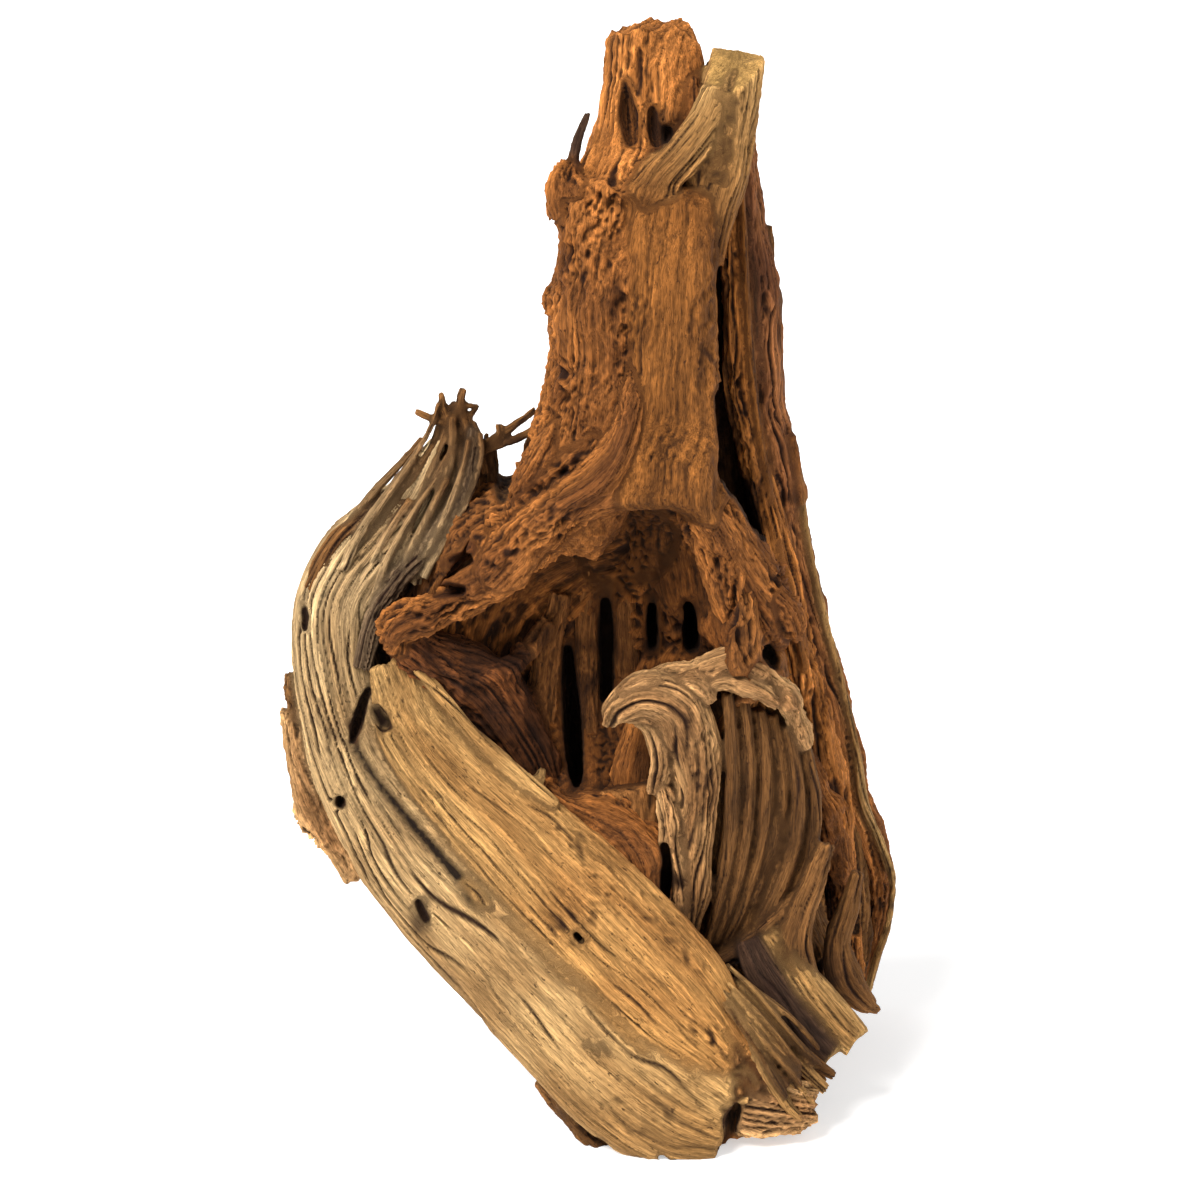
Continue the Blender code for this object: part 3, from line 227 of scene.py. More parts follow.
SLAB = {
    "outer_slab": dict(surface="ridged", squareness=3, cup=-6, stations=[
        (746, 92, -42, 9, 18), (744, 160, -45, 13, 26), (747, 220, -48, 18, 30), (754, 290, -50, 26, 32),
        (755, 360, -55, 27, 34), (757, 408, -60, 26, 34), (766, 450, -66, 28, 34), (776, 500, -74, 29, 34),
        (785, 560, -84, 29, 32), (799, 620, -96, 29, 30), (817, 680, -110, 28, 28), (835, 740, -126, 25, 26),
        (848, 790, -140, 20, 24), (866, 836, -156, 18, 20), (879, 880, -172, 16, 16),
        (877, 922, -190, 14, 14),
        (868, 962, -206, 9, 13), (866, 990, -216, 6, 8)]),
    "slab_edge": dict(surface="strand", stations=[
        (799, 470, -56, 3, 7), (808, 540, -62, 3, 7), (823, 610, -74, 4, 7), (841, 680, -88, 4, 7),
        (857, 750, -104, 4, 7), (864, 800, -116, 5, 8), (880, 840, -130, 5, 8), (892, 880, -142, 5, 8),
        (888, 922, -156, 5, 8), (876, 960, -170, 5, 8), (868, 992, -180, 4, 6)]),
    "slab_cap": dict(surface="rough", stations=[
        (788, 434, -52, 6, 10), (794, 460, -56, 8, 14), (800, 500, -62, 7, 12)]),
    "slab_thorn": dict(surface="strand", stations=[
        (769, 224, -48, 2.6, 3), (771, 240, -48, 3.6, 4), (770, 258, -48, 5, 6), (768, 284, -48, 8, 10)]),
    "slab_bump": dict(surface="rough", stations=[
        (777, 286, -46, 4, 6), (779, 300, -46, 5, 8), (778, 318, -46, 4, 8)]),
    "inner_strip": dict(surface="furrowed", squareness=2.6, stations=[
        (728, 214, -18, 8, 18), (734, 300, -20, 14, 24), (738, 380, -24, 15, 28), (751, 446, -32, 14, 28),
        (766, 510, -42, 16, 28), (782, 580, -52, 18, 26), (798, 650, -62, 20, 26), (814, 720, -76, 21, 26),
        (828, 790, -90, 22, 24), (838, 860, -108, 20, 22), (846, 920, -130, 17, 20),
        (852, 975, -160, 13, 16)]),
    "inner_rib": dict(surface="strand", stations=[
        (741, 187, -6, 3, 8), (744, 240, -4, 4, 10), (748, 320, -4, 4, 10), (755, 400, -10, 4, 10),
        (764, 462, -18, 5, 10), (778, 540, -28, 5, 10), (794, 620, -38, 5, 10), (804, 668, -44, 4, 8)]),
    "wing_strand": dict(surface="strand", stations=[
        (772, 652, 0, 7, 8), (781, 700, -6, 7, 9), (800, 748, -14, 8, 10), (816, 800, -26, 8, 10)]),
    "rotten_strip": dict(surface="lumpy", stations=[
        (806, 752, -34, 8, 10), (822, 800, -46, 16, 14), (838, 850, -60, 17, 16), (846, 900, -74, 14, 14),
        (850, 936, -84, 8, 12)]),
}

SHELL = {
    "shell": dict(surface=("shell", "plank"), squareness=3.2, cup=-12, jag=(16, 16), stations=[
        (438, 450, -14, 12, 9), (408, 504, -4, 28, 11), (366, 552, 8, 43, 12), (337, 602, 20, 43, 12),
        (334, 656, 32, 43, 12), (348, 714, 44, 50, 13), (376, 774, 58, 63, 15), (426, 836, 76, 80, 17),
        (480, 890, 92, 88, 18), (535, 944, 106, 92, 19), (590, 998, 118, 96, 20), (644, 1048, 128, 100, 20),
        (688, 1082, 135, 98, 20), (712, 1098, 137, 88, 20), (734, 1112, 138, 70, 18)]),
    "plank": dict(surface="plank", squareness=2.4, cup=-5, jag=(10, 12), stations=[
        (388, 664, 60, 20, 8), (414, 724, 66, 38, 11), (462, 782, 79, 48, 13), (524, 842, 95, 56, 14),
        (582, 900, 107, 62, 15), (640, 960, 119, 63, 16), (682, 1004, 127, 58, 16), (716, 1040, 132, 44, 15),
        (738, 1064, 134, 28, 13)]),
    "plank_lip": dict(surface="shell", stations=[
        (407, 658, 62, 6, 7), (436, 690, 66, 8, 8), (476, 736, 72, 9, 9), (520, 776, 80, 9, 9),
        (556, 806, 84, 7, 8)]),
    "plank_lip_chip": dict(surface="strand", stations=[
        (543, 768, 70, 4, 5), (536, 784, 72, 9, 7), (524, 796, 74, 9, 7)]),
    "knot_curl": dict(surface="strand", stations=[
        (462, 882, 104, 5, 6), (478, 898, 106, 7, 7), (480, 920, 104, 6, 7), (462, 936, 102, 7, 7),
        (452, 950, 100, 7, 7), (462, 968, 102, 5, 6)]),
    "knot_patch": dict(surface="broken", stations=[
        (588, 1040, 140, 8, 7), (602, 1056, 142, 16, 8), (612, 1074, 142, 8, 7)]),
    "brown_backing": dict(surface="rough", squareness=2.6, jag=(6, 6), stations=[
        (290, 708, 20, 12, 12), (298, 752, 24, 18, 14), (314, 800, 32, 20, 15), (336, 842, 40, 18, 14),
        (356, 880, 48, 12, 11)]),
    "brown_spur": dict(surface="rough", stations=[
        (289, 672, 22, 3.5, 6), (290, 692, 22, 6, 9), (298, 716, 24, 8, 10)]),
    "shell_body": dict(surface="rough", squareness=2.6, stations=[
        (400, 600, -20, 40, 18), (388, 660, -6, 44, 24), (408, 730, 8, 58, 32), (452, 800, 26, 70, 40),
        (510, 866, 44, 76, 42), (568, 934, 62, 78, 42), (626, 1004, 78, 78, 40), (680, 1060, 88, 74, 38),
        (714, 1108, 96, 58, 30)]),
    "fringe": dict(surface="broken", jag=(6, 6), stations=[
        (540, 1078, 108, 10, 12), (574, 1118, 118, 13, 14), (612, 1151, 124, 13, 14),
        (660, 1160, 128, 12, 14),
        (706, 1158, 130, 10, 12)]),
    "tear": dict(surface="layered", squareness=2.4, jag=(0, 8), stations=[
        (690, 1000, 122, 16, 12), (716, 1034, 126, 30, 15), (740, 1068, 128, 34, 15),
        (758, 1096, 126, 26, 14)]),
    "broken_end": dict(surface="broken", squareness=2.4, jag=(0, 10), stations=[
        (700, 1062, 112, 44, 22), (745, 1090, 117, 46, 25), (786, 1102, 112, 36, 22),
        (814, 1104, 104, 20, 16)]),
    "foot": dict(surface="broken", squareness=2.8, jag=(0, 8), stations=[
        (650, 1020, 80, 60, 30), (690, 1076, 96, 84, 36), (706, 1112, 104, 92, 32),
        (712, 1136, 108, 80, 26)]),
}

CLUSTER = {
    "spray_3": dict(surface="strand", stations=[
        (362, 668, 40, 11, 9), (378, 612, 34, 12, 10), (404, 572, 26, 11, 10), (440, 534, 18, 11, 9),
        (462, 494, 10, 10, 8), (470, 458, 2, 7, 6), (474, 428, -4, 5, 5)]),
    "spray_web": dict(surface="strand", stations=[
        (350, 590, -8, 22, 8), (372, 540, -16, 21, 7), (402, 498, -23, 19, 7), (432, 458, -29, 15, 6),
        (450, 424, -31, 8, 5)]),
    "tip_mass": dict(surface="strand", stations=[
        (474, 510, -22, 15, 9), (466, 462, -25, 14, 8), (459, 424, -22, 9, 6), (454, 402, -18, 5, 5)]),
    "tip_1": dict(surface="strand", stations=[
        (464, 476, 0, 5, 6), (454, 436, -8, 6, 5), (445, 412, -12, 5, 4.4), (441, 393, -12, 3.8, 3.8)]),
    "tip_2": dict(surface="strand", stations=[
        (474, 462, -6, 5, 6), (467, 430, -12, 5, 5), (460, 404, -12, 6, 5), (463, 388, -12, 4.6, 4.2)]),
    "tip_3": dict(surface="strand", stations=[
        (486, 474, -10, 5, 6), (478, 442, -14, 4.4, 5), (468, 424, -14, 3.6, 4), (478, 404, -14, 2.4, 3)]),
    "tip_4": dict(surface="strand", stations=[
        (428, 486, -4, 4.4, 6), (440, 448, -10, 4.4, 5), (450, 422, -13, 3.6, 4), (440, 404, -14, 2.4, 3)]),
    "tip_5": dict(surface="strand", stations=[
        (450, 506, 8, 4, 5), (468, 474, 4, 4.4, 5), (481, 446, -4, 3.6, 4), (474, 420, -8, 2.4, 3)]),
    "spray_5": dict(surface="strand", stations=[
        (470, 590, -10, 16, 12), (486, 540, -14, 14, 11), (492, 490, -18, 11, 9), (490, 448, -20, 8, 7)]),
    "spray_6": dict(surface="strand", stations=[
        (440, 600, 14, 9, 9), (462, 568, 12, 8, 8), (484, 540, 8, 7, 7), (502, 516, 2, 3, 4)]),
    "spray_7": dict(surface="strand", stations=[
        (410, 600, 2, 13, 10), (430, 560, -6, 14, 11), (448, 500, -16, 13, 10), (452, 446, -20, 9, 8)]),
    "spray_9": dict(surface="strand", stations=[
        (312, 590, 12, 9, 8), (330, 552, 8, 11, 8), (360, 520, 2, 10, 8), (384, 498, -4, 6, 6)]),
    "spray_8": dict(surface="strand", stations=[
        (420, 630, 24, 9, 8), (450, 606, 20, 8, 8), (480, 586, 14, 6, 6), (504, 566, 8, 5, 5)]),
    "twig_left": dict(surface="strand", stations=[
        (415, 411, -8, 3.6, 3.6), (426, 416, -8, 4, 4), (446, 424, -10, 4, 4)]),
    "twig_hook": dict(surface="strand", stations=[
        (474, 405, -12, 2.2, 2.6), (463, 406, -12, 5, 4), (452, 418, -12, 6, 5)]),
    "twig_right_high": dict(surface="strand", stations=[
        (536, 409, -4, 3.4, 3.4), (522, 420, -6, 4.4, 4.4), (502, 434, -10, 6, 5), (482, 446, -14, 6, 6)]),
    "twig_right_low": dict(surface="strand", stations=[
        (556, 420, -2, 4, 4), (540, 426, -4, 4, 4), (522, 436, -6, 4.4, 4), (500, 446, -8, 3.6, 3.6),
        (480, 452, -10, 4, 4)]),
    "twig_nub": dict(surface="strand", stations=[
        (499, 424, -8, 4, 4), (500, 434, -9, 5, 5), (492, 446, -12, 6, 6)]),
    "web_left": dict(surface="rough", stations=[
        (520, 560, -30, 22, 14), (510, 530, -34, 16, 12), (505, 505, -38, 11, 9)]),
    "web_right": dict(surface="rough", stations=[
        (530, 548, -20, 18, 14), (524, 500, -22, 10, 10), (528, 462, -22, 8, 9), (538, 434, -18, 7, 8)]),
    "web_back": dict(surface="rough", squareness=2.6, stations=[
        (470, 510, -46, 26, 12), (462, 560, -44, 48, 16), (450, 610, -34, 60, 22), (440, 660, -20, 60, 26)]),
}

KNOB = {
    "knob_body": dict(surface="rough", squareness=2.4, stations=[
        (712, 690, 6, 56, 34), (738, 750, 8, 66, 40), (744, 830, 6, 58, 42), (730, 900, 2, 44, 40),
        (712, 956, 0, 30, 34), (700, 1010, 10, 30, 30)]),
    "crest": dict(surface="lumpy", stations=[
        (636, 684, 50, 10, 13), (668, 674, 50, 12, 16), (700, 674, 50, 12, 16), (734, 664, 54, 14, 18),
        (766, 678, 50, 14, 18), (790, 704, 38, 12, 16), (804, 742, 24, 9, 14)]),
    "crest_front": dict(surface="lumpy", stations=[
        (700, 690, 58, 9, 10), (722, 682, 66, 12, 12), (750, 686, 66, 13, 12), (778, 702, 56, 10, 10)]),
    "hook": dict(surface="curl", squareness=2.4, stations=[
        (607, 726, 62, 6, 8), (618, 708, 66, 18, 15), (646, 697, 68, 28, 21), (676, 710, 64, 32, 25),
        (692, 746, 58, 29, 26), (695, 792, 54, 22, 25), (691, 840, 54, 23, 25), (690, 890, 54, 20, 24),
        (684, 936, 50, 14, 18), (682, 958, 48, 8, 12)]),
    "hook_fold": dict(surface="curl", stations=[
        (662, 786, 56, 8, 12), (668, 812, 64, 13, 15), (674, 850, 66, 15, 17), (680, 900, 62, 14, 17),
        (678, 944, 54, 9, 12)]),
    "hook_tongue": dict(surface="curl", stations=[
        (634, 716, 66, 8, 9), (654, 730, 70, 13, 13), (662, 762, 64, 13, 14), (656, 792, 54, 8, 10)]),
    "hook_lump_1": dict(surface="lumpy", stations=[
        (622, 694, 74, 8, 8), (640, 684, 76, 10, 10), (660, 680, 74, 8, 9)]),
    "hook_lump_2": dict(surface="lumpy", stations=[
        (676, 682, 70, 8, 8), (694, 684, 68, 11, 10), (712, 700, 62, 8, 9)]),
    "skirt": dict(surface="furrowed", stations=[
        (820, 862, 30, 5, 8), (796, 898, 38, 10, 12), (766, 930, 42, 13, 15), (730, 956, 42, 12, 14),
        (700, 968, 38, 9, 12)]),
    "horn_1": dict(surface="slat", squareness=3, stations=[
        (828, 844, 38, 8, 9), (816, 876, 44, 12, 12), (802, 912, 48, 14, 14), (794, 950, 50, 18, 15),
        (806, 990, 48, 22, 15), (832, 1020, 44, 18, 12)]),
    "horn_2": dict(surface="slat", squareness=3, stations=[
        (857, 872, 8, 7, 9), (848, 906, 12, 10, 12), (838, 944, 16, 14, 14), (846, 978, 16, 18, 14),
        (864, 1000, 12, 12, 10), (878, 1011, 8, 4, 5)]),
    "beam": dict(surface="beam", squareness=3.4, cut_end=(0.75, -0.45, 0.45), stations=[
        (746, 938, 54, 14, 14), (760, 968, 60, 19, 17), (786, 1006, 62, 20, 19), (810, 1038, 62, 20, 19),
        (832, 1062, 62, 18, 18)]),
    "beam_side": dict(surface="beam", squareness=3.4, cut_end=(0.75, -0.45, 0.45), stations=[
        (766, 930, 44, 12, 14), (786, 960, 50, 18, 17), (814, 994, 54, 20, 19), (838, 1022, 54, 20, 19),
        (858, 1044, 54, 18, 18)]),
    "root_mass": dict(surface="rough", squareness=2.4, stations=[
        (760, 900, -40, 60, 44), (786, 960, -50, 56, 44), (790, 1010, -60, 50, 40),
        (780, 1050, -60, 44, 30)]),
    "leaf_1": dict(surface="strand", stations=[
        (734, 990, 104, 6, 7), (764, 1030, 106, 7, 8), (800, 1066, 106, 7, 8), (826, 1090, 104, 6, 7)]),
    "leaf_2": dict(surface="strand", stations=[
        (738, 1010, 120, 5, 8), (760, 1046, 122, 6, 9), (790, 1082, 122, 7, 9), (812, 1106, 118, 6, 8)]),
    "leaf_3": dict(surface="strand", stations=[
        (744, 1030, 132, 5, 8), (760, 1064, 134, 6, 9), (782, 1098, 132, 7, 9), (800, 1120, 128, 6, 8)]),
    "leaf_4": dict(surface="strand", stations=[
        (742, 1000, 92, 6, 7), (772, 1030, 92, 6, 8), (806, 1058, 90, 7, 8), (834, 1076, 88, 5, 6)]),
    "under_beam": dict(surface="rough", stations=[
        (720, 990, 60, 20, 24), (752, 1030, 70, 26, 24), (786, 1070, 76, 28, 20), (806, 1094, 78, 22, 16)]),
}

ROOTS = {
    "curl_backing": dict(surface="ridged", squareness=2.4, stations=[
        (790, 700, -110, 34, 30), (812, 790, -126, 38, 28), (832, 860, -146, 36, 26),
        (840, 920, -166, 32, 24),
        (842, 980, -190, 22, 20)]),
    "root_left": dict(surface="ridged", squareness=2.4, stations=[
        (618, 640, -90, 20, 14), (600, 720, -110, 56, 42), (576, 810, -150, 52, 42),
        (546, 900, -196, 42, 36), (524, 970, -236, 34, 30),
        (512, 1010, -256, 28, 24)]),
    "root_right": dict(surface="ridged", squareness=2.4, stations=[
        (706, 690, -116, 20, 14), (720, 780, -130, 56, 42), (760, 870, -140, 50, 40),
        (792, 950, -160, 40, 34), (806, 1010, -180, 32, 28),
        (808, 1040, -190, 26, 22)]),
    "root_back": dict(surface="ridged", squareness=2.4, stations=[
        (698, 450, -124, 16, 10), (690, 560, -150, 46, 30), (680, 700, -176, 54, 38),
        (668, 840, -200, 48, 38), (660, 950, -230, 40, 34),
        (656, 1010, -250, 32, 28)]),
}

HOLLOW = {
    "hollow": dict(surface="rough", squareness=2.2, stations=[
        (642, 508, 100, 38, 16), (640, 532, 94, 82, 54), (628, 576, 84, 112, 88), (600, 624, 80, 156, 98),
        (588, 672, 78, 172, 98), (596, 720, 78, 152, 94), (604, 760, 80, 118, 84), (612, 800, 84, 84, 66)]),
}

OPENINGS = {
    "slot_1": dict(surface="strand", stations=[
        (567, 640, -30, 4, 46), (570, 690, -30, 8, 46), (574, 740, -26, 10, 46), (577, 784, -20, 8, 40)]),
    "slot_2": dict(surface="strand", stations=[
        (605, 584, -24, 4, 50), (606, 640, -30, 7, 46), (606, 712, -30, 5, 46)]),
    "slot_3": dict(surface="strand", stations=[
        (652, 588, -26, 3, 50), (652, 620, -30, 5, 46), (653, 658, -32, 4, 46)]),
    "slot_4": dict(surface="strand", stations=[
        (687, 588, -20, 5, 50), (690, 616, -26, 8, 46), (692, 646, -28, 6, 46)]),
    "stump_hollow_left": dict(surface="strand", stations=[
        (625, 82, 12, 3, 14), (628, 114, 13, 9, 20), (631, 146, 18, 5, 14)]),
    "stump_hollow_right": dict(surface="strand", stations=[
        (652, 106, 12, 3, 12), (654, 128, 15, 6, 16), (657, 148, 20, 4, 12)]),
    "stump_pit": dict(surface="strand", stations=[
        (668, 126, 14, 4, 18), (669, 142, 18, 6, 20)]),
    "crown_groove_1": dict(surface="strand", stations=[
        (722, 104, 30, 1.5, 9), (719, 140, 38, 1.8, 11), (714, 178, 46, 1.5, 9)]),
    "crown_groove_2": dict(surface="strand", stations=[
        (734, 100, 30, 1.5, 8), (731, 140, 38, 1.7, 10), (724, 184, 46, 1.5, 8)]),
    "beetle_hole": dict(surface="strand", stations=[
        (340, 797, 70, 5, 15), (340, 808, 71, 5, 15)]),
    "long_crack": dict(surface="strand", stations=[
        (350, 744, 70, 0.9, 14), (374, 778, 80, 1.4, 15), (402, 810, 90, 1.6, 15), (432, 846, 100, 1.3, 14),
        (460, 882, 110, 1.1, 12), (474, 904, 114, 0.9, 10)]),
    "slab_crack_1": dict(surface="strand", stations=[
        (748, 210, -10, 1.6, 12), (758, 300, -10, 2.2, 14), (764, 390, -18, 1.8, 14)]),
    "slab_crack_2": dict(surface="strand", stations=[
        (764, 450, -30, 1.8, 12), (782, 540, -42, 2.4, 14), (806, 640, -56, 2, 14),
        (824, 720, -70, 1.8, 12)]),
    "junction_crack": dict(surface="strand", stations=[
        (368, 690, 62, 4, 26), (362, 704, 64, 5, 28), (356, 726, 68, 6, 28), (351, 744, 70, 3, 22)]),
    "oval_hole": dict(surface="strand", stations=[
        (374, 706, 72, 5, 26), (380, 718, 74, 8, 28), (388, 732, 74, 6, 26)]),
    "shell_slit": dict(surface="strand", stations=[
        (302, 604, 30, 2.5, 12), (305, 617, 32, 4, 12), (304, 632, 34, 2.5, 12)]),
    "plank_slot": dict(surface="strand", stations=[
        (417, 900, 109, 2.6, 11), (422, 912, 111, 3.6, 11), (428, 924, 113, 2.4, 11)]),
    "plank_slot_low": dict(surface="strand", stations=[
        (574, 932, 124, 3, 18), (584, 943, 126, 3, 18)]),
    "plank_notch": dict(surface="strand", stations=[
        (738, 1104, 150, 3, 20), (732, 1118, 152, 7, 24), (730, 1134, 150, 6, 24), (724, 1150, 146, 3, 20)]),
    "tear_cut": dict(surface="layered", stations=[
        (700, 970, 172, 5, 33), (724, 1012, 176, 17, 35), (744, 1058, 178, 22, 36),
        (760, 1106, 176, 27, 36)]),
    "plank_chip_1": dict(surface="strand", stations=[
        (596, 1140, 150, 4, 14), (604, 1150, 148, 7, 16), (614, 1160, 144, 4, 14)]),
    "plank_chip_2": dict(surface="strand", stations=[
        (656, 1150, 154, 3, 14), (664, 1158, 152, 6, 16), (676, 1164, 148, 3, 14)]),
    "plank_chip_3": dict(surface="strand", stations=[
        (548, 1100, 140, 2, 10), (556, 1112, 138, 4, 12), (566, 1122, 138, 2, 10)]),
    "back_gap": dict(surface="strand", stations=[
        (714, 380, 30, 4, 40), (722, 440, 20, 9, 50), (740, 500, 4, 13, 50), (756, 544, -4, 9, 50),
        (768, 576, -10, 4, 40)]),
    "lump_gap": dict(surface="strand", stations=[
        (665, 840, 64, 5, 30), (666, 876, 64, 6, 30), (664, 912, 64, 4, 30)]),
    "rotten_hole": dict(surface="strand", stations=[
        (858, 868, -70, 8, 34), (860, 910, -80, 11, 34), (858, 950, -90, 7, 34)]),
    "wing_hole_high": dict(surface="strand", stations=[
        (432, 566, 60, 5, 26), (452, 562, 60, 8, 26), (474, 558, 56, 5, 26)]),
    "wing_hole_low": dict(surface="strand", stations=[
        (430, 594, 70, 4, 24), (448, 590, 70, 6, 24), (466, 590, 68, 4, 24)]),
    "nub_hole": dict(surface="strand", stations=[
        (756, 648, 44, 5, 26), (768, 654, 40, 8, 28), (779, 666, 34, 5, 26)]),
    "see_through": dict(surface="strand", stations=[
        (516, 444, -20, 9, 90), (509, 464, -20, 9, 90), (504, 488, -20, 6, 90)]),
}

# Fans of strands side by side. Each has its first and last strand's stations, the number of strands, how far
# they stand before or behind each other, how far they sway to their sides, and how ragged their ends are, as
# a share of their length.
FANS = {
    "driftwood_splinters": {
        "spray_fan": dict(surface="strand", bend=5, count=8, uneven=9, ragged=0.2, first=[
            (314, 604, 16, 7, 7), (334, 554, 10, 6, 7), (364, 508, 2, 5, 6), (400, 464, -6, 4.5, 5),
            (425, 428, -12, 3.5, 4), (437, 394, -14, 2.5, 3)], last=[
            (420, 622, 30, 7, 7), (438, 562, 18, 6, 7), (456, 506, 6, 5, 6), (464, 462, -4, 4.5, 5),
            (466, 428, -12, 3.5, 4), (464, 392, -14, 2.5, 3)]),
        "spray_fan_inner": dict(surface="strand", bend=6, count=6, uneven=8, ragged=0.35, first=[
            (330, 640, 26, 6, 6), (342, 590, 20, 5, 6), (368, 540, 12, 4.5, 5), (400, 492, 4, 4, 4),
            (428, 446, -4, 3, 4), (446, 410, -10, 2.5, 3)], last=[
            (408, 640, 40, 6, 6), (424, 592, 30, 5, 6), (446, 544, 20, 4.5, 5), (464, 498, 10, 4, 4),
            (478, 456, 0, 3, 4), (482, 420, -8, 2.5, 3)]),
        "spray_fan_back": dict(surface="strand", bend=5, count=6, uneven=8, ragged=0.3, first=[
            (440, 618, 2, 6, 7), (460, 562, -6, 5, 7), (474, 508, -12, 5, 6), (480, 466, -16, 4, 5),
            (480, 430, -18, 3, 3)], last=[
            (506, 600, -12, 6, 7), (510, 550, -16, 5, 7), (508, 506, -20, 5, 6), (500, 470, -20, 4, 5),
            (498, 436, -20, 3, 3)]),
    },
    "driftwood_burl": {
        "slat_fan": dict(surface="slat", squareness=3, count=6, uneven=6, ragged=0.05, bend=1.5, first=[
            (728, 686, 50, 6, 12), (732, 760, 54, 7.4, 15), (729, 830, 50, 7.4, 15), (718, 900, 44, 6, 12),
            (704, 950, 36, 4, 8)], last=[
            (802, 730, 22, 5.5, 10), (815, 790, 25, 7, 13), (810, 852, 27, 7, 13), (784, 908, 29, 6, 11),
            (744, 958, 26, 4, 8)]),
        "leaf_fan": dict(surface="strand", count=8, uneven=7, ragged=0.1, bend=4, first=[
            (728, 962, 94, 2.4, 7), (764, 996, 102, 3.2, 9), (802, 1032, 104, 3.2, 9),
            (834, 1064, 98, 2.4, 7)], last=[
            (722, 1000, 134, 2.4, 7), (744, 1034, 142, 3.4, 9), (768, 1070, 142, 3.4, 9),
            (790, 1100, 134, 2.6, 7)]),
    },
    "driftwood_plank": {
        "end_fan": dict(surface="broken", count=7, uneven=6, ragged=0.5, bend=4, first=[
            (752, 1052, 122, 8, 9), (778, 1082, 122, 9, 10), (806, 1108, 116, 5, 7)], last=[
            (600, 1080, 134, 9, 9), (634, 1116, 134, 10, 10), (664, 1146, 126, 5, 7)]),
    },
}



# The fine relief's and the skin's own measures: rounds of softening, how wide a crack is in steps, and the depth
# in metres at which a crease's painted shade is darkest.
SKIN_SOFTENING = 1
FILL_ROUNDS = 5
CRACK_WIDTH = 2.8
TONE_ROUNDS = 16
WOOD_SHADE = 0.76

# A turn that keeps the rot from lining up with the grain, and how many steps apart the loose splinters are.
TURN = np.array([[0.66, -0.53, 0.53], [0.75, 0.46, -0.48], [0.01, 0.71, 0.70]])
SPLINTER_GAP = {"rough": 26, "layered": 24, "strand": 60, "ridged": 60, "furrowed": 50, "vault": 60, "broken": 22,
                "lumpy": 40, "shell": 160, "curl": 60}
CREASE_ROUNDS = 6
CREASE_DEPTH = 0.0008
SAWN_LENGTH = 0.02
CUTTER_CELL = 0.0012
SMALLEST_BODY = 400

# The rays that tell how far a place lies open to the sky, from which the material paints shade in deep hollows:
# their number, where they start and how far they look.
SKY_RAYS = 96
SKY_START = 0.001
SKY_REACH = 0.08
# The dark brown of specks, grain lines and splits, also mixed in as painted shade in cracks and deep hollows.
DARK_WOOD_AND_SHADE = (38, 20, 11)

# The soft lights: strength, softness in degrees, tilt from overhead and turn about the wood. Then the even
# light, the lights' colour and the floor.
SUNS = (
    ("key", 4.9, 26, 40, -44),
    ("fill", 0.7, 60, 50, 50),
)
SKY_LIGHT = 0.56
SUN_COLOUR = (1.0, 0.985, 0.96)
FLOOR_COLOUR = (0.75, 0.75, 0.75, 1)
FLOOR_GLOW = 0.47
FLOOR_SIZE = 8.0

# The wood's colours, as a screen shows them: each with a second colour that it is mottled with.
COLOURS = {
    "red": ((184, 114, 54), (122, 72, 32)),
    "rust": ((148, 88, 38), (92, 53, 21)),
    "bright": ((224, 142, 70), (158, 96, 42)),
    "cavity": ((178, 114, 60), (120, 74, 35)),
    # Deep, crack and split darken the walls of holes, openings and splits, partly as painted shade; deep also
    # colours the laps of the left wall.
    "deep": ((122, 70, 33), (78, 43, 19)),
    "crack": ((92, 60, 33), (62, 40, 21)),
    "split": ((52, 35, 21), (36, 24, 14)),
    "amber": ((222, 160, 88), (182, 122, 62)),
    "orange": ((164, 102, 45), (120, 72, 28)),
    "straw": ((212, 164, 94), (190, 140, 76)),
    "tan": ((216, 168, 104), (174, 128, 73)),
    "sand": ((222, 189, 140), (180, 146, 102)),
    "brown": ((158, 108, 59), (104, 68, 34)),
    "bark": ((240, 186, 124), (168, 120, 74)),
    "grey": ((146, 118, 88), (100, 78, 56)),
    "umber": ((100, 70, 50), (62, 42, 30)),
    "plum": ((178, 114, 68), (118, 72, 46)),
}

# Each piece's limbs, the size of its skin's cells in metres, the colour of its limbs, how often its creases
# are filled, and the most triangles that it keeps.
PIECES = {
    "driftwood_trunk": (TRUNK_BEHIND, 0.0016, "red", 3, 150000),
    "driftwood_front": (TRUNK, 0.0008, "red", 20, 190000),
    "driftwood_slab": (SLAB, 0.0009, "brown", 2, 110000),
    "driftwood_plank": (SHELL, 0.0008, "tan", 2, 195000),
    "driftwood_splinters": (CLUSTER, 0.0007, "brown", 0, 90000),
    "driftwood_burl": (KNOB, 0.00075, "brown", 1, 150000),
    "driftwood_roots": (ROOTS, 0.0015, "brown", 2, 80000),
}
